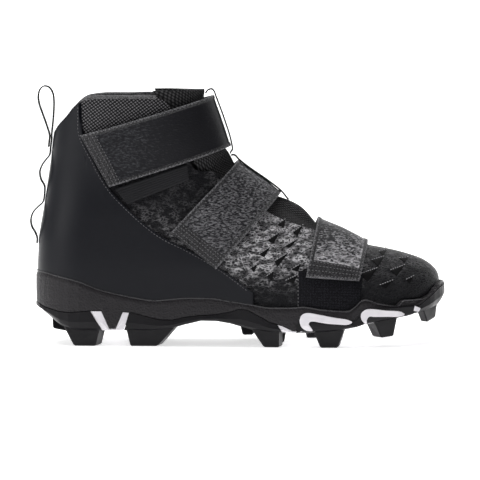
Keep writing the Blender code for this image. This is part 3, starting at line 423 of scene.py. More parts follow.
toe_index = int(np.abs(front_points[:, 0] - TOE_TURN * LENGTH)[: len(front_points) // 2].argmin())
toe_z = floor_z(TOE_TIP * LENGTH) + CUP_GAP
toe_x = float(np.interp(toe_z, front_points[:toe_index, 1], front_points[:toe_index, 0]))
profile = np.array([[toe_x, toe_z], *[p for p in front_points[: toe_index + 1] if p[1] > toe_z + 1e-4]])
throat_line = rounded_line(side_points(THROAT))
vamp_index = int(np.abs(front_points[:, 0] - THROAT_FOOT * LENGTH).argmin())
vamp_line = front_points[toe_index : vamp_index + 1][::-1]
rim_line = rounded_line(side_points(COLLAR_RIM))
rim_line[0][0] = back_x(rim_line[0][1])
heel_z = floor_z(HEEL_TIP * LENGTH) + CUP_GAP
heel_foot = np.array([back_x(heel_z), heel_z])


def upper_foot(s):
    share = 0.55 * s + 0.45 * (1 - math.cos(math.pi * s)) / 2
    x = heel_foot[0] + share * (toe_x - heel_foot[0])
    return np.array([x, floor_z(x) + CUP_GAP])


def upper_top(s):
    if s <= RIM_SHARE:
        return along(rim_line, s / RIM_SHARE)
    if s <= THROAT_SHARE:
        return along(throat_line, (s - RIM_SHARE) / (THROAT_SHARE - RIM_SHARE))
    return along(vamp_line, (s - THROAT_SHARE) / (1 - THROAT_SHARE))


def upper_rear(t):
    z = heel_foot[1] + t * (rim_line[0][1] - heel_foot[1])
    return np.array([back_x(z), z])


upper_place = patch(upper_foot, upper_top, upper_rear, lambda t: along(profile, t))


def upper_spot(s, t):
    side = LATERAL if s < 0.5 else MEDIAL
    s = abs(1 - 2 * s)
    rise = 1 - (1 - t) ** 1.5
    x, z = upper_place(s, rise)
    if s > THROAT_SHARE:
        needed = 0.03 * (1 - rise) * min(1.0, 5 * (1 - s))
        depth, outward = front_foot(x, z)
        if depth < needed:
            x, z = x - outward[0] * (needed - depth), z - outward[1] * (needed - depth)
    if s < 1e-6:
        x = back_x(z)
    return skin(x, z, side)


# The dot pattern is real; the light grey on the raised dot tops is painted highlight and the near-black
# between them is painted shade in the holes.
collar_mesh, shader = finish_of("collar_mesh", (0.030, 0.030, 0.031), 0.8)
turn = pattern(collar_mesh, "ShaderNodeMapping", "Object",
               Rotation=(0.0, math.radians(38), 0.0), Scale=(480.0, 0.0, 560.0))
cell = wired(collar_mesh, "ShaderNodeTexVoronoi", [(turn.outputs["Vector"], "Vector")],
             Scale=1.0, Randomness=0.10)
coloured(collar_mesh, shader, cell.outputs["Distance"],
         (0.14, 0.137, 0.144), (0.002, 0.002, 0.003), (0.18, 0.42))
bumped(collar_mesh, shader, cell.outputs["Distance"], 0.9, 0.0008).invert = True

inside = Vector((0.30 * LENGTH, 0.0, 0.35 * COLLAR_HEIGHT))
bm = sheet(260, 56, upper_spot)
face_outwards(bm, inside)
for face in bm.faces:
    spot = face.calc_center_median()
    if spot.x < 0.42 * LENGTH and spot.z > (0.62 + 0.5 * (spot.x / LENGTH - 0.14)) * COLLAR_HEIGHT:
        face.material_index = 1
upper = finished("upper_skin", bm, wrinkled, collar_mesh, knit_lining, slot="textured_skin")
pad = upper.vertex_groups.new(name="pad")
for vert in upper.data.vertices:
    spot = vert.co - HEEL_POINT
    high = eased((spot.z / COLLAR_HEIGHT - 0.72) / 0.16)
    rearward = eased((0.29 - spot.x / LENGTH) / 0.07)
    pad.add([vert.index], high * rearward, "REPLACE")
wall = walled(upper, COLLAR_PAD, -1, lining=2)
wall.vertex_group = "pad"
wall.thickness_vertex_group = UPPER_WALL / COLLAR_PAD
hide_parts("upper")

# Heel quarter
# A smooth coated overlay, 1 mm thick, bonded round the heel and forward to the ball.
# Its front edge is sewn down with a single row of light thread.
OVERLAY = 0.0010
OVERLAY_LIFT = 0.0009
QUARTER_SINK = 0.0007
QUARTER_TUCK = 0.0008
CUP_BEHIND = 0.0033
RIM_PART, RIM_DROP = 0.25, 0.0012
GAP = 0.0003
QUARTER_EDGE = (
    (0.1160, 0.966), (0.1150, 0.900), (0.1170, 0.834), (0.1450, 0.735), (0.1820, 0.624),
    (0.2310, 0.538), (0.3050, 0.439), (0.3780, 0.379), (0.4550, 0.307), (0.5300, 0.218),
)
CUP_TOP = (
    (0.000, 0.950), (0.030, 0.942), (0.059, 0.906), (0.108, 0.845), (0.157, 0.741),
    (0.206, 0.675), (0.255, 0.623), (0.292, 0.600), (0.329, 0.616), (0.378, 0.636),
    (0.427, 0.636), (0.476, 0.598), (0.526, 0.559), (0.575, 0.520), (0.624, 0.520),
    (0.649, 0.532), (0.698, 0.500), (0.757, 0.480), (0.771, 0.520), (0.796, 0.610),
    (0.833, 0.562), (0.875, 0.535), (0.890, 0.611), (0.931, 0.611), (0.953, 0.632),
    (0.985, 0.785), (1.000, 0.795),
)
cup_top_of = monotone(CUP_TOP)
quarter_rim = rounded_line(side_points([row for row in COLLAR_RIM if row[0] < 0.112] + [QUARTER_EDGE[0]]))
quarter_rim[0][0] = back_x(quarter_rim[0][1])
quarter_edge = rounded_line(side_points(QUARTER_EDGE))
quarter_tip = QUARTER_EDGE[-1][0] * LENGTH


def quarter_low(x):
    behind = CUP_BEHIND * max(0.0, 1 - x / (0.12 * LENGTH))
    return cup_top_of(max(x - behind, 0.0) / LENGTH) * SOLE_HEIGHT - QUARTER_TUCK


def quarter_foot(s):
    start = back_x(quarter_low(0.01 * LENGTH))
    x = start + s * (quarter_tip - start)
    return np.array([x, quarter_low(max(x, 0.01 * LENGTH))])


def quarter_top(s):
    if s <= RIM_PART:
        x, z = along(quarter_rim, s / RIM_PART)
        return np.array([x, z - RIM_DROP])
    return along(quarter_edge, (s - RIM_PART) / (1 - RIM_PART))


def quarter_rear(t):
    z = quarter_foot(0)[1] + t * (quarter_top(0)[1] - quarter_foot(0)[1])
    return np.array([back_x(z), z])


def quarter_front(t):
    return (1 - t) * quarter_foot(1) + t * quarter_top(1)


quarter_place = patch(quarter_foot, quarter_top, quarter_rear, quarter_front)


def quarter_spot(s, t):
    side = LATERAL if s < 0.5 else MEDIAL
    s = abs(1 - 2 * s)
    x, z = quarter_place(s, t)
    if s < 1e-6:
        x = back_x(z)
    return skin(x, z, side, OVERLAY_LIFT - QUARTER_SINK)


smooth_skin, shader = finish_of("smooth_skin", (0.0038, 0.0042, 0.0068), 0.44, 0.20)
cloud = pattern(smooth_skin, "ShaderNodeTexNoise", "Object", Scale=1400.0, Detail=3.0)
bumped(smooth_skin, shader, cloud.outputs["Fac"], 0.25, 0.0002)

bm = sheet(200, 36, quarter_spot)
face_outwards(bm, inside)
quarter = finished("heel_quarter_skin", bm, smooth_skin, slot="smooth_skin")
walled(quarter, OVERLAY + QUARTER_SINK, 1, 0.0004)
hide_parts("heel_quarter")

# Tongue
# A padded knit tongue, 5 mm thick, sewn in at the vamp and free at the top.
# It swells a little where no strap presses on it.
TONGUE_THICKNESS = 0.0048
TONGUE_PUFFS = ((0.478, 0.600, 0.0056), (0.690, 0.795, 0.0044), (0.985, 1.060, 0.0022))
tongue_start = int(np.abs(front_points[:, 0] - 0.725 * LENGTH).argmin())
tongue_line = front_points[tongue_start:]
tongue_line = tongue_line[: int(np.abs(tongue_line[:, 1] - 1.012 * COLLAR_HEIGHT).argmin()) + 1]
tongue_depth = monotone(((0.0, 0.022), (0.25, 0.055), (0.55, 0.070), (0.75, 0.085), (1.0, 0.130)))


def tongue_lift(z, across):
    lift = -UPPER_WALL - 3 * GAP
    for low, high, puff in TONGUE_PUFFS:
        share = (z / COLLAR_HEIGHT - low) / (high - low)
        if 0 < share < 1:
            free = max(1 - (across / 0.42) ** 2, 0.0) ** 2
            lift += puff * free * math.sin(math.pi * share) ** 0.7
    return lift


def tongue_spot(s, t):
    across = 2 * s - 1
    side = LATERAL if across < 0 else MEDIAL
    x, z = along(tongue_line, t)
    lift = tongue_lift(z, across)
    _, outward = front_foot(x, z)
    depth = tongue_depth(t) * LENGTH * across * across
    x, z = x - outward[0] * depth, z - outward[1] * depth
    z += 0.9 * outward[1] * depth * eased((t - 0.80) / 0.20)
    return skin(x, z, side, lift)


# The cell pattern is real; the light grey on the raised cell tops is painted highlight and the near-black
# between them is painted shade.
knit, shader = finish_of("knit_mesh", (0.022, 0.022, 0.023), 0.85)
turn = pattern(knit, "ShaderNodeMapping", "UV",
               Rotation=(0.0, 0.0, math.radians(35)), Scale=(640.0, 480.0, 1.0))
cell = wired(knit, "ShaderNodeTexVoronoi", [(turn.outputs["Vector"], "Vector")], Scale=1.0, Randomness=0.12)
coloured(knit, shader, cell.outputs["Distance"],
         (0.0633, 0.0622, 0.0649), (0.0033, 0.0033, 0.0039), (0.12, 0.52))
bumped(knit, shader, cell.outputs["Distance"], 0.8, 0.0006).invert = True

bm = sheet(64, 90, tongue_spot, (0.075, 0.13))
face_outwards(bm, inside)
tongue = finished("tongue_pad", bm, knit, slot="knit_mesh")
walled(tongue, TONGUE_THICKNESS, -1, 0.0016)
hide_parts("tongue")

# Vamp flaps
# Rows of small cuts let the coated textile flex: each is a three-cornered pocket under a raised lip,
# sewn along the lip. The pocket is a sheet painted near-black as the shade under the lip, and the
# lip's stitches are painted light grey as the highlight on its rim. A row has the lip's two ends
# and the foot, each as its distance from the heel end and its height in millimetres.
VAMP_FLAPS = (
    (177.3, 88.6, 182.1, 91.3, 180.9, 86.5), (188.8, 83.1, 194.8, 86.8, 191.1, 80.7),
    (170.0, 77.7, 177.3, 82.0, 173.6, 75.9), (182.7, 73.5, 190.6, 77.7, 185.7, 72.6),
    (164.0, 68.0, 170.7, 72.2, 167.0, 66.2), (175.4, 63.2, 183.3, 67.7, 176.7, 59.5),
    (187.0, 57.1, 193.0, 60.5, 191.1, 55.9), (157.4, 57.7, 161.6, 60.2, 159.7, 55.3),
    (169.4, 52.3, 173.6, 55.3, 172.5, 49.3), (183.3, 49.3, 190.6, 52.6, 187.9, 47.6),
    (251.4, 67.2, 256.6, 67.9, 253.7, 65.0), (245.9, 61.9, 253.5, 63.6, 249.8, 58.4),
    (266.1, 62.4, 272.1, 62.6, 269.5, 60.0), (236.9, 52.7, 247.7, 55.8, 242.1, 48.6),
    (259.5, 54.8, 268.4, 57.5, 263.2, 51.7), (251.4, 45.0, 259.5, 47.6, 255.0, 43.0),
    (270.4, 48.1, 275.5, 50.2, 272.6, 45.9),
)
FLAP_LIFT = 0.0003
FLAP_GROWTH = 1.3
FLAP_STITCH = 0.0016
LIP_HEIGHT = 0.0005


def stitched(bm, spot, count, length=0.0017, thickness=0.0006):
    """Sews an even row of short stitches along spot(share, lift)."""
    for k in range(count):
        share = (k + 0.5) / count
        place = spot(share, 0.0)
        run = (spot(share + 0.2 / count, 0.0) - spot(share - 0.2 / count, 0.0)).normalized()
        out = (spot(share, 0.001) - place).normalized()
        turn = Matrix((run, out.cross(run), out)).transposed().to_4x4()
        size = Matrix.Diagonal((length, thickness, thickness * 0.8, 1.0))
        matrix = Matrix.Translation(place) @ turn @ size
        bmesh.ops.create_icosphere(bm, subdivisions=1, radius=0.5, matrix=matrix)


# Near-black painted shade for the hollow under each flap lip.
pocket_painted_shade, shader = finish_of("pocket_painted_shade", (0.0025, 0.0025, 0.003), 0.6, 0.1)
thread, shader = finish_of("sewing_thread", (0.13, 0.128, 0.134), 0.6)
# Light grey painted highlight on the rim of each flap lip, laid on as stitches.
lip_painted_highlight, shader = finish_of("lip_painted_highlight", (0.30, 0.295, 0.31), 0.6)
pockets = bmesh.new()
lips = bmesh.new()
for row in VAMP_FLAPS:
    low, high, foot = (np.array(row[k : k + 2]) / 1000 for k in (0, 2, 4))
    middle = (low + high + foot) / 3
    low, high, foot = (middle + FLAP_GROWTH * (corner - middle) for corner in (low, high, foot))
    for side in (LATERAL, MEDIAL):
        grown = len(pockets.verts)
        bmesh.ops.create_grid(pockets, x_segments=5, y_segments=4, size=0.5)
        pockets.verts.ensure_lookup_table()
        for vert in pockets.verts[grown:]:
            s, t = vert.co.x + 0.5, vert.co.y + 0.5
            x, z = foot * (1 - t) + (low + s * (high - low)) * t
            vert.co = skin(x, z, side, FLAP_LIFT * (0.4 + t * math.sin(math.pi * s)))

        def lip(share, h):
            x, z = low + share * (high - low)
            return skin(x, z, side, LIP_HEIGHT + h)

        count = max(3, int(np.linalg.norm(high - low) / FLAP_STITCH))
        stitched(lips, lip, count, 0.0015, 0.0007)
bmesh.ops.remove_doubles(pockets, verts=pockets.verts, dist=1e-5)
face_outwards(pockets, Vector((0.7 * LENGTH, 0.0, 0.02)))
walled(finished("vamp_pocket_painted_shade", pockets, pocket_painted_shade, slot="textured_skin"), 0.0004, -1)
finished("vamp_lip_highlight_stitches", lips, lip_painted_highlight, slot="textured_skin")

# Quarter seam
# One row of bonded thread holds the front edge of the heel quarter down on the upper,
# 1.4 mm in from the edge on both sides of the foot.
SEAM_INSET = 0.0014
seams = bmesh.new()
for side in (LATERAL, MEDIAL):

    def seam_spot(share, h):
        x, z = along(quarter_edge, 0.02 + 0.96 * share)
        ahead = along(quarter_edge, 0.03 + 0.96 * share) - along(quarter_edge, 0.01 + 0.96 * share)
        ahead = ahead / np.linalg.norm(ahead)
        x, z = x + SEAM_INSET * ahead[1], z - SEAM_INSET * ahead[0]
        return skin(x, z, side, OVERLAY_LIFT + OVERLAY + 0.0001 + h)

    stitched(seams, seam_spot, 78, 0.0016, 0.0005)
finished("quarter_stitches", seams, thread, slot="smooth_skin")

# Stretch panel
# A fine matt mesh let into both sides under the lowest strap, so that the ball can flex.
# It is bonded on, and closed at its rear edge by one upright row of stitches.
PANEL_REAR, PANEL_FRONT = 0.1915, 0.2350
PANEL_FOOT, PANEL_TOP = 0.0245, 0.0560
PANEL_LEAN = 0.004


def panel_spot(s, t, lift=0.0002):
    x = PANEL_REAR + s * (PANEL_FRONT - PANEL_REAR) + PANEL_LEAN * t * s
    return skin(x, PANEL_FOOT + t * (PANEL_TOP - PANEL_FOOT), panel_side, lift)


fine_mesh, shader = finish_of("fine_mesh", (0.010, 0.010, 0.012), 0.7, 0.1)
turn = pattern(fine_mesh, "ShaderNodeMapping", "Object", Scale=(900.0, 0.0, 900.0))
cell = wired(fine_mesh, "ShaderNodeTexVoronoi", [(turn.outputs["Vector"], "Vector")],
             Scale=1.0, Randomness=0.3)
coloured(fine_mesh, shader, cell.outputs["Distance"],
         (0.018, 0.018, 0.022), (0.001, 0.001, 0.002), (0.15, 0.5))
seams = bmesh.new()
for panel_side in (LATERAL, MEDIAL):
    bm = sheet(40, 28, panel_spot)
    face_outwards(bm, inside)
    label = "outer" if panel_side == LATERAL else "inner"
    walled(finished("stretch_panel_" + label, bm, fine_mesh, slot="textured_skin"), 0.0004, 1, 0.0001)
    stitched(seams, lambda share, h: panel_spot(0.0, share, 0.0007 + h), 12, 0.0018, 0.0007)
finished("stretch_panel_stitches", seams, thread, slot="textured_skin")

# Collar binding
# A soft knit tape rolled over the padded top of the upper, from one side of the throat
# round the heel to the other, and sewn through just below the roll.
ROLL_RISE, ROLL_DROP, ROLL_OUT = 0.0017, 0.0007, 0.0006


def rim_place(s, turn):
    """A place on the roll: s runs along the rim and turn goes round the tape."""
    side = LATERAL if s < 0.5 else MEDIAL
    x, z = upper_top(abs(1 - 2 * s) * RIM_SHARE)
    if s == 0.5:
        x = back_x(z)
    pad = eased((0.29 - x / LENGTH) / 0.07)
    depth = UPPER_WALL + (COLLAR_PAD - UPPER_WALL) * pad
    outer = skin(x, z, side, 0.0)
    inner = skin(x, z, side, -depth)
    out = (outer - inner).normalized()
    centre = (outer + inner) / 2 - Vector((0.0, 0.0, ROLL_DROP))
    wide = depth / 2 + ROLL_OUT
    return centre + out * wide * math.cos(turn) + Vector((0.0, 0.0, ROLL_RISE * math.sin(turn)))


rolled, shader = finish_of("rolled_knit", (0.075, 0.074, 0.077), 0.85)
rib = pattern(rolled, "ShaderNodeTexNoise", "Object", Scale=1300.0, Detail=2.0)
coloured(rolled, shader, rib.outputs["Fac"], (0.020, 0.020, 0.021), (0.15, 0.148, 0.153), (0.38, 0.62))
bumped(rolled, shader, rib.outputs["Fac"], 0.8, 0.0005)
bm = sheet(220, 16, lambda s, t: rim_place(s, 2 * math.pi * t))
bmesh.ops.holes_fill(bm, edges=bm.edges)
bm.normal_update()
bmesh.ops.recalc_face_normals(bm, faces=bm.faces)
finished("collar_binding", bm, rolled, slot="knit_mesh")

# Elastic band
# A short ribbed elastic under the ankle strap, woven from rubber cord and yarn. It is
# sewn down on the outer side, just in front of the heel quarter's edge.
RIB_COUNT, RIB_HEIGHT = 7, 0.00035
ELASTIC_BAND = ((0.197, 0.620), (0.226, 0.563), (0.370, 0.715), (0.374, 0.660))
top_rear, foot_rear, top_front, foot_front = (
    np.array(p) * np.array([LENGTH, COLLAR_HEIGHT]) for p in ELASTIC_BAND
)


def elastic_place(s, t):
    top = top_rear + s * (top_front - top_rear)
    foot = foot_rear + s * (foot_front - foot_rear)
    x, z = foot + t * (top - foot)
    rib = RIB_HEIGHT * abs(math.sin(math.pi * RIB_COUNT * t))
    return skin(x, z, LATERAL, OVERLAY_LIFT + rib)


elastic, shader = finish_of("ribbed_elastic", (0.020, 0.020, 0.022), 0.7)
wave = pattern(elastic, "ShaderNodeTexWave", "UV", Scale=480.0)
coloured(elastic, shader, wave.outputs["Fac"], (0.001, 0.001, 0.002), (0.016, 0.016, 0.018), (0.2, 0.8))
bm = sheet(80, 48, elastic_place, (0.055, 0.012))
face_outwards(bm, inside)
band = finished("elastic_band_ribs", bm, elastic, slot="webbing")
walled(band, OVERLAY, 1, 0.0003)
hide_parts("elastic_band")

# Webbing
# One flat tape, 8 mm wide and 1 mm thick, runs up the heel in two bows and a pull loop.
# Two shorter tapes of the same kind keep the upper straps over the tongue.
WEBBING_WIDTH = 0.008
WEBBING_THICKNESS = 0.0010
BOW_REACH = 0.0072
LOOP_HEIGHT = 0.0385
LOOP_WIDTH = 0.0120
LOOP_STITCH = 0.006
STRAP_STAND = 0.0039
HEEL_CHAIN = (
    (0.395, 0.00), (0.418, 0.02), (0.440, 0.30), (0.462, 0.72), (0.490, 0.95), (0.520, 0.84),
    (0.542, 0.42), (0.560, 0.02), (0.600, 0.00), (0.625, 0.12), (0.650, 0.56), (0.680, 0.80),
    (0.708, 0.66), (0.728, 0.36), (0.748, 0.03), (0.780, 0.00), (0.812, 0.00),
)
PULL_LOOP = (
    (0.00, 0.08), (-0.05, 0.22), (-0.12, 0.45), (-0.15, 0.70), (-0.09, 0.86), (0.12, 0.97),
    (0.42, 1.00), (0.67, 0.95), (0.80, 0.82), (0.76, 0.68), (0.55, 0.48), (0.30, 0.26),
    (0.12, 0.06),
)
ANKLE_KEEPER = (
    (0.995, 0.05), (1.004, 0.40), (1.004, 0.90), (0.995, 1.10), (0.970, 1.14), (0.895, 1.18),
    (0.815, 1.18), (0.778, 1.14), (0.762, 1.00), (0.756, 0.50), (0.749, 0.10),
)
INSTEP_KEEPER = (
    (0.741, 0.05), (0.739, 0.50), (0.732, 0.95), (0.714, 1.01), (0.680, 1.01), (0.630, 1.02),
    (0.596, 1.08), (0.577, 1.04), (0.565, 0.55), (0.558, 0.05),
)

webbing, shader = finish_of("black_webbing", (0.012, 0.012, 0.013), 0.8)
wave = pattern(webbing, "ShaderNodeTexWave", "UV", Scale=420.0, bands_direction="DIAGONAL")
coloured(webbing, shader, wave.outputs["Fac"], (0.004, 0.004, 0.005), (0.030, 0.030, 0.032), (0.2, 0.8))
bumped(webbing, shader, wave.outputs["Fac"], 0.5, 0.0003)


def laid_tape(name, line, *nodes):
    """A flat tape along a side-view line in the shoe's middle."""
    line = rounded_line(line, 6)
    reach = float(np.linalg.norm(np.diff(line, axis=0), axis=1).sum())

    def spot(s, t):
        x, z = line[round(s * (len(line) - 1))]
        return Vector((x, middle_y(x) + (t - 0.5) * WEBBING_WIDTH, z))

    bm = sheet(len(line) - 1, 6, spot, (reach, WEBBING_WIDTH))
    bm.normal_update()
    obj = finished(name, bm, webbing, slot="webbing")
    walled(obj, WEBBING_THICKNESS, 0, 0.0002)
    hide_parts(*nodes)
    return obj


seat = OVERLAY_LIFT + OVERLAY + 2 * GAP + WEBBING_THICKNESS / 2
heel_line = []
for share, bow in HEEL_CHAIN:
    z = share * COLLAR_HEIGHT
    heel_line.append((back_x(z) - seat - bow * BOW_REACH, z))
base_x, base_z = heel_line[-1]
heel_line += [(base_x - back * LOOP_WIDTH, base_z + up * LOOP_HEIGHT) for back, up in PULL_LOOP]
for up in (-0.3, -1.0):
    z = base_z + up * LOOP_STITCH
    heel_line.append((back_x(z) - seat - WEBBING_THICKNESS - GAP - 0.0002, z))
laid_tape("heel_tape", heel_line, "heel_webbing")
for name, rows in (("keeper_ankle", ANKLE_KEEPER), ("keeper_instep", INSTEP_KEEPER)):
    line = []
    for share, stand in rows:
        z = share * COLLAR_HEIGHT
        upper_half = front_points[len(front_points) // 3 :]
        x = float(np.interp(z, upper_half[:, 1], upper_half[:, 0]))
        _, outward = front_foot(x, z)
        low = tongue_lift(z, 0.0)
        lift = low + stand * (STRAP_STAND - low) + WEBBING_THICKNESS / 2
        line.append((x + outward[0] * lift, z + outward[1] * lift))
    laid_tape(name + "_tape", line, name)

# Straps
# Three hook-and-loop straps wrap over the front and close on the outer side.
# Each is a fused band 1.6 mm thick, bound along its edges and sewn across its free end.
STRAP_THICKNESS = 0.0016
STRAP_LIFT = 0.0023
TOE_STRAP_LIFT = 0.0014
STRAPS = {
    "strap_ankle": ((0.118, 0.832), (0.182, 0.628), (0.432, 0.984), (0.474, 0.783), 0.30),
    "strap_instep": ((0.332, 0.450), (0.442, 0.308), (0.496, 0.732), (0.600, 0.601), 0.12),
    "strap_forefoot": ((0.656, 0.277), (0.784, 0.257), (0.688, 0.510), (0.811, 0.419), 0.10),
}


def strap_line(strap, w):
    """The side-view line of one thread of a strap, from its free end to the front line."""
    free_top, free_foot, front_top, front_foot_point, _ = strap
    size = np.array([LENGTH, COLLAR_HEIGHT])
    a = (np.array(free_top) * (1 - w) + np.array(free_foot) * w) * size
    b = (np.array(front_top) * (1 - w) + np.array(front_foot_point) * w) * size
    low, high = 0.6, 1.1
    for _ in range(30):
        middle = (low + high) / 2
        x, z = a + middle * (b - a)
        low, high = (middle, high) if front_foot(x, z)[0] > 0 else (low, middle)
    return a, a + low * (b - a)


BINDING = 0.0024
TAB = 0.0100
EDGE_LINE = 0.0007
END_LINE = 0.0008
BINDING_RISE, TAB_RISE = 0.0005, 0.0004
TAB_SEAMS = (0.0016, 0.0044, 0.0072, 0.0094)
EDGE_STITCH, TAB_STITCH = 0.0026, 0.0024
STITCH_INSET = 0.0012


def heathered(name, lean, low, high, stops, scale, axis="Z", dark_at=9.0, light_at=0.0):
    """Fused melange cloth: light flecks drawn out along the strap, darker towards the dark_at end; on the
    ankle strap that darkening is painted shade.
    """
    finish, shader = finish_of(name, high, 0.50)
    turn = pattern(finish, "ShaderNodeMapping", "Object",
                   Rotation=(0.0, math.radians(lean), 0.0), Scale=(1.0, 1.0, 2.6))
    fleck = wired(finish, "ShaderNodeTexNoise", [(turn.outputs["Vector"], "Vector")],
                  Scale=scale, Detail=2.5, Roughness=0.6, Distortion=0.6)
    parts = pattern(finish, "ShaderNodeSeparateXYZ", "Object")
    darkened_end = ranged(finish, parts.outputs[axis], dark_at, light_at, 0.72, 1.0)
    coloured(finish, shader, multiplied(finish, fleck.outputs["Fac"], darkened_end), low, high, stops)
    bumped(finish, shader, fleck.outputs["Fac"], 0.5, 0.0006)
    return finish


bound_edge, shader = finish_of("strap_binding", (0.020, 0.020, 0.022), 0.55)
rib = pattern(bound_edge, "ShaderNodeTexNoise", "Object", Scale=1500.0)
coloured(bound_edge, shader, rib.outputs["Fac"], (0.005, 0.005, 0.006), (0.050, 0.049, 0.052), (0.40, 0.62))
bumped(bound_edge, shader, rib.outputs["Fac"], 0.6, 0.0004)
# A light grey painted highlight along the strap edges and the free end, where a rounded edge catches the
# light.
strap_edge_highlight, shader = finish_of("strap_edge_highlight", (0.10, 0.098, 0.104), 0.5)
rib = pattern(strap_edge_highlight, "ShaderNodeTexNoise", "Object", Scale=1100.0)
coloured(strap_edge_highlight, shader, rib.outputs["Fac"], (0.020, 0.020, 0.022), (0.16, 0.158, 0.166), (0.38, 0.62))
STRAP_CLOTH = {
    # The ankle strap's cloth darkens towards its front end: painted shade where that end faces away from
    # the lights.
    "strap_ankle": heathered(
        "ankle_cloth", 17, (0.002, 0.002, 0.004), (0.040, 0.041, 0.046), (0.46, 0.70), 420.0,
        "X", -0.035, -0.085,
    ),
    "strap_instep": heathered(
        "instep_cloth", 47, (0.004, 0.004, 0.006), (0.185, 0.182, 0.192), (0.44, 0.70), 420.0
    ),
    "strap_forefoot": heathered(
        "forefoot_cloth", 77, (0.008, 0.008, 0.010), (0.46, 0.45, 0.47), (0.37, 0.64), 330.0,
        "Z", 0.088, 0.056,
    ),
}


def strap_spot(strap, share, w, side, lift):
    """A place on a strap: share runs from its free end to the front, w across it."""
    free, front = strap_line(strap, w)
    x, z = free + share * (front - free)
    return skin(x, z, side, lift)


for name, strap in STRAPS.items():
    lift = TOE_STRAP_LIFT if name == "strap_forefoot" else STRAP_LIFT
    width = math.dist(*side_points(strap[:2]))
    free, front = strap_line(strap, 0.5)
    reach = float(np.linalg.norm(front - free))
    lines = {}

    def strap_place(s, t):
        if t not in lines:
            lines[t] = strap_line(strap, 1 - t)
        free, front = lines[t]
        across = 2 * s - 1
        tail = 0.0 if across < 0 else strap[4]
        share = 1 - (1 - tail) * across * across
        edge = min(t, 1 - t) * width
        raised = BINDING_RISE * eased((BINDING + 0.0003 - edge) / 0.0006)
        if across < 0:
            raised = max(raised, TAB_RISE * eased((TAB - share * reach) / END_LINE))
        x, z = free + share * (front - free)
        return skin(x, z, LATERAL if across < 0 else MEDIAL, lift + raised)

    bm = sheet(120, 50, strap_place, (1.0, width))
    uv = bm.loops.layers.uv.active
    face_outwards(bm, inside)
    for face in bm.faces:
        u = sum(loop[uv].uv.x for loop in face.loops) / len(face.loops)
        v = sum(loop[uv].uv.y for loop in face.loops) / len(face.loops)
        edge = min(v, width - v)
        from_end = (1 - (1 - 2 * u) ** 2) * reach if u < 0.5 else reach
        if edge < BINDING or from_end < TAB:
            face.material_index = 1
        # The outermost edge and end get the painted highlight finish.
        if edge < EDGE_LINE or from_end < END_LINE:
            face.material_index = 2
    obj = finished(name + "_band", bm, STRAP_CLOTH[name], bound_edge, strap_edge_highlight, slot="strap_skin")
    walled(obj, STRAP_THICKNESS, 1, 0.0004)
    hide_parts(name)

    bm = bmesh.new()
    top = lift + STRAP_THICKNESS + BINDING_RISE
    rows = int(reach / EDGE_STITCH)
    for w in (STITCH_INSET / width, 1 - STITCH_INSET / width):
        stitched(bm, lambda share, h: strap_spot(strap, share, w, LATERAL, top + h), rows)
        stitched(bm, lambda share, h: strap_spot(strap, share, w, MEDIAL, top + h), rows)
    count = int(width / TAB_STITCH)
    for inset in TAB_SEAMS:
        stitched(bm, lambda share, h: strap_spot(strap, inset / reach, share, LATERAL, top + h), count)
    finished(name + "_stitches", bm, thread, slot="strap_skin")

# Sole
# A rubber cup round the foot, black moulded shells and studs, and a white plate between.
# They are moulded plastic and rubber, so these pieces keep the form of the solids.
cup_rubber, shader = finish_of("cup_rubber", (0.017, 0.0155, 0.0175), 0.5)
pebble = pattern(cup_rubber, "ShaderNodeTexVoronoi", "Object", Scale=700.0)
bumped(cup_rubber, shader, pebble.outputs["Distance"], 0.7, 0.0006)
stud_rubber, shader = finish_of("stud_rubber", (0.0040, 0.0036, 0.0050), 0.36, 0.20)
cloud = pattern(stud_rubber, "ShaderNodeTexNoise", "Object", Scale=90.0, Detail=3.0)
matt = ranged(stud_rubber, cloud.outputs["Fac"], 0.35, 0.65, 0.30, 0.46)
stud_rubber.node_tree.links.new(matt, shader.inputs["Roughness"])
bumped(stud_rubber, shader, cloud.outputs["Fac"], 0.15, 0.0004)
white_plate, shader = finish_of("white_plate", (0.72, 0.70, 0.73), 0.40, 0.4)
cloud = pattern(white_plate, "ShaderNodeTexNoise", "Object", Scale=60.0, Detail=3.0)
coloured(white_plate, shader, cloud.outputs["Fac"], (0.66, 0.64, 0.68), (0.78, 0.76, 0.79), (0.35, 0.65))
for name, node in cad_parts.items():
    finish = None
    if name.startswith(("outsole", "stud")):
        finish = stud_rubber
    if name.startswith("plate"):
        finish = white_plate
    if name == "midsole":
        finish = cup_rubber
    if name == "insole":
        finish = knit_lining
    if finish:
        for slot in node.material_slots:
            slot.material = finish

# Cup edge
# The rubber cup ends in a fine rolled bead against the upper, all the way round.
# It is moulded with the cup, a little glossier where the mould was polished, and a shade
# lighter than the cup, a painted highlight along the edge.
BEAD_RADIUS = 0.00045
BEAD_LIFT = 0.0024


def bead_place(s, t):
    share = abs(1 - 2 * s)
    share = 0.5 * share + 0.25 * (1 - math.cos(math.pi * share))
    first = back_x(cup_top_of(0.0) * SOLE_HEIGHT)
    x = first + share * (0.988 * LENGTH - first)
    z = cup_top_of(x / LENGTH) * SOLE_HEIGHT + 0.0001 + BEAD_RADIUS * math.sin(2 * math.pi * t)
    if share < 1e-6:
        x = back_x(z)
    return skin(x, z, LATERAL if s < 0.5 else MEDIAL, BEAD_LIFT + BEAD_RADIUS * math.cos(2 * math.pi * t))


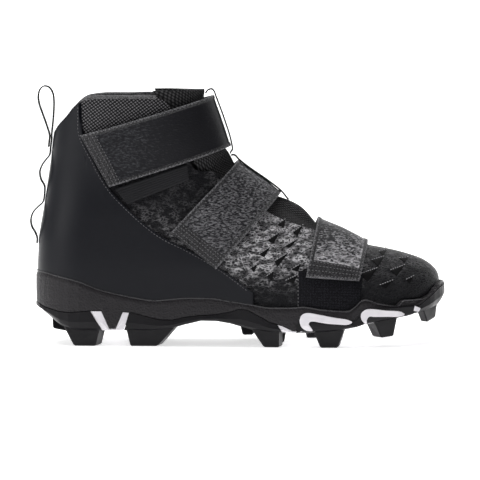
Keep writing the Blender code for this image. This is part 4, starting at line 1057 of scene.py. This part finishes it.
# A shade lighter than the cup rubber: painted highlight along the cup's edge.
bead_rubber, shader = finish_of("bead_rubber", (0.020, 0.019, 0.022), 0.28, 0.5)
cloud = pattern(bead_rubber, "ShaderNodeTexNoise", "Object", Scale=120.0)
matt = ranged(bead_rubber, cloud.outputs["Fac"], 0.35, 0.65, 0.25, 0.45)
bead_rubber.node_tree.links.new(matt, shader.inputs["Roughness"])
bm = sheet(340, 8, bead_place)
bmesh.ops.recalc_face_normals(bm, faces=bm.faces)
finished("cup_edge_bead", bm, bead_rubber, slot="cup_rubber")

# Sole rim
# Under the ball the black shell closes round the white plate and the stud roots, and
# leaves rounded windows where the white shows. One moulding, the same on both sides.
UNDERSIDE = (
    (0.575, 0.207), (0.649, 0.196), (0.690, 0.205), (0.730, 0.225), (0.760, 0.248), (0.804, 0.307),
    (0.845, 0.343), (0.882, 0.377), (0.930, 0.428), (0.960, 0.460), (0.985, 0.505), (1.000, 0.555),
)
PETAL_TOP = (
    (0.625, 0.222), (0.638, 0.222), (0.650, 0.400), (0.660, 0.430), (0.673, 0.421), (0.710, 0.384),
    (0.747, 0.357), (0.765, 0.340), (0.779, 0.290), (0.793, 0.340), (0.801, 0.465), (0.812, 0.488),
    (0.857, 0.455), (0.892, 0.452), (0.902, 0.410), (0.916, 0.440), (0.928, 0.510), (0.942, 0.560),
    (0.960, 0.625), (0.985, 0.730), (1.000, 0.765),
)
SHELL_OUT = 0.0036
SOLE_REACH = 0.0033
PETAL_LEAST = 0.0012
RIM_PROUD, WINDOW_PROUD = 0.0004, 0.0007
underside_of = monotone(UNDERSIDE)
petal_top_of = monotone(PETAL_TOP)


def sole_spot(goal, z, side, proud):
    """A place on the shell's outer face, at the height z and moved out by proud."""
    foot = underside_of(goal / LENGTH) * SOLE_HEIGHT
    top = max(petal_top_of(goal / LENGTH) * SOLE_HEIGHT, foot + PETAL_LEAST)
    share = min(max((z - foot) / (top - foot), 0.0), 1.0)
    out = SHELL_OUT + proud + float(np.interp(share, (0, 0.12, 0.45, 1), (-0.0045, -0.0018, 0.0, -0.0003)))
    level = max(z, floor_z(goal) + 0.005)
    x = goal
    for _ in range(3):
        lifted = skin(x, level, side, 0.001) - skin(x, level, side)
        flat = Vector((lifted.x, lifted.y, 0.0)).normalized()
        x = goal - flat.x * SOLE_REACH
    spot = skin(x, level, side) + flat * out
    spot.z = z
    return spot


WINDOWS = {
    "ball": (
        (201.6, 12.6, 201.9, 13.3), (197.2, 13.0, 200.2, 16.0), (193.8, 15.8, 199.2, 17.9),
        (192.5, 20.4, 200.0, 19.5), (194.0, 24.3, 202.6, 19.8), (197.8, 25.9, 206.6, 19.2),
        (207.6, 24.5, 212.4, 18.3), (218.6, 22.4, 219.8, 17.7), (226.2, 21.2, 226.5, 17.4),
        (230.2, 19.7, 230.0, 18.5),
    ),
    "fore": (
        (240.7, 17.2, 241.3, 18.2), (238.0, 19.4, 240.9, 20.4), (236.6, 22.5, 242.0, 22.6),
        (237.0, 25.6, 243.5, 23.2), (239.8, 28.0, 245.5, 22.9), (243.6, 28.6, 249.0, 22.8),
        (254.5, 27.2, 256.0, 22.7), (265.3, 26.1, 263.5, 22.5), (268.2, 24.3, 267.6, 23.2),
    ),
    "toe": ((275.1, 26.1, 279.1, 25.0), (275.4, 28.0, 279.5, 26.4), (275.9, 29.7, 279.9, 27.7)),
}
RIM_REAR, RIM_FRONT = 0.1902, 0.2800
RIM_TOP = (
    (0.190, 0.016), (0.194, 0.0255), (0.200, 0.0255), (0.232, 0.020), (0.236, 0.024),
    (0.244, 0.0295), (0.280, 0.030),
)
for side, label in ((LATERAL, "outer"), (MEDIAL, "inner")):

    def rim_spot(s, t):
        x = RIM_REAR + s * (RIM_FRONT - RIM_REAR)
        foot = underside_of(x / LENGTH) * SOLE_HEIGHT + 0.0002
        top = max(petal_top_of(x / LENGTH) * SOLE_HEIGHT, foot + PETAL_LEAST) - 0.0001
        top = max(top, float(np.interp(x, *zip(*RIM_TOP))))
        return sole_spot(x, foot + t * (top - foot), side, RIM_PROUD)

    bm = sheet(120, 8, rim_spot)
    face_outwards(bm, inside)
    walled(finished("sole_rim_" + label, bm, stud_rubber, slot="stud_rubber"), 0.0004, -1)
    for window, rows in WINDOWS.items():
        upper_line = rounded_line([row[:2] for row in rows], 5) / 1000
        lower_line = rounded_line([row[2:] for row in rows], 5) / 1000

        def window_spot(s, t):
            k = round(s * (len(upper_line) - 1))
            x, z = lower_line[k] + t * (upper_line[k] - lower_line[k])
            return sole_spot(x, z, side, WINDOW_PROUD)

        bm = sheet(len(upper_line) - 1, 8, window_spot)
        face_outwards(bm, inside)
        obj = finished("white_window_" + window + "_" + label, bm, white_plate, slot="white_plate")
        walled(obj, 0.0004, -1)

# Floor, light and camera
# A plain white sweep with one large soft light overhead and a smaller one on the left.
# The camera stands at the outer side, a little above the ankle and far back.
STAGE_HALF = 6.0


def stage_sheet(name, grey, glow, place=Matrix()):
    """A wide plain sheet that glows a little, to show white round the shoe."""
    bm = bmesh.new()
    bmesh.ops.create_grid(bm, x_segments=1, y_segments=1, size=STAGE_HALF)
    bmesh.ops.transform(bm, verts=bm.verts, matrix=place)
    mesh = bpy.data.meshes.new(name)
    bm.to_mesh(mesh)
    bm.free()
    obj = bpy.data.objects.new(name, mesh)
    bpy.context.scene.collection.objects.link(obj)
    finish, shader = finish_of(name + "_finish", (grey, grey, grey), 0.9)
    shader.inputs["Emission Color"].default_value = (1.0, 1.0, 1.0, 1.0)
    shader.inputs["Emission Strength"].default_value = glow
    mesh.materials.append(finish)
    return obj


floor = stage_sheet("floor", 0.93, 0.62)
upright = Matrix.Translation((0.0, 5.0, 5.9)) @ Matrix.Rotation(math.radians(90), 4, "X")
backdrop = stage_sheet("backdrop", 0.9, 1.0, upright)

world = bpy.data.worlds.new("studio")
world.use_nodes = True
world.node_tree.nodes["Background"].inputs["Color"].default_value = (1.0, 1.0, 1.0, 1.0)
world.node_tree.nodes["Background"].inputs["Strength"].default_value = 0.16
bpy.context.scene.world = world
bpy.context.scene.view_settings.view_transform = "Standard"


def soft_light(name, place, aim, size, power):
    lamp = bpy.data.lights.new(name, "AREA")
    lamp.size = size
    lamp.energy = power
    obj = bpy.data.objects.new(name, lamp)
    obj.location = place
    obj.rotation_euler = (Vector(aim) - Vector(place)).to_track_quat("-Z", "Y").to_euler()
    bpy.context.scene.collection.objects.link(obj)


soft_light("overhead_light", (-0.35, 0.1, 2.1), (0.0, 0.0, 0.0), 1.8, 46)
soft_light("left_light", (-1.7, -0.7, 0.8), (0.0, 0.0, 0.08), 0.9, 12)

PIXEL = 0.0007273 * 0.995
DISTANCE = 2.65
camera_data = bpy.data.cameras.new("camera")
camera_data.angle = 2 * math.atan(240 * PIXEL / DISTANCE)
camera = bpy.data.objects.new("camera", camera_data)
pitch = math.radians(4.3)
aim = Vector((0.0015, -0.035, 0.0776))
camera.location = aim + Vector((0.0, -math.cos(pitch), math.sin(pitch))) * DISTANCE
camera.rotation_euler = (math.pi / 2 - pitch, 0.0, 0.0)
bpy.context.scene.collection.objects.link(camera)
bpy.context.scene.camera = camera
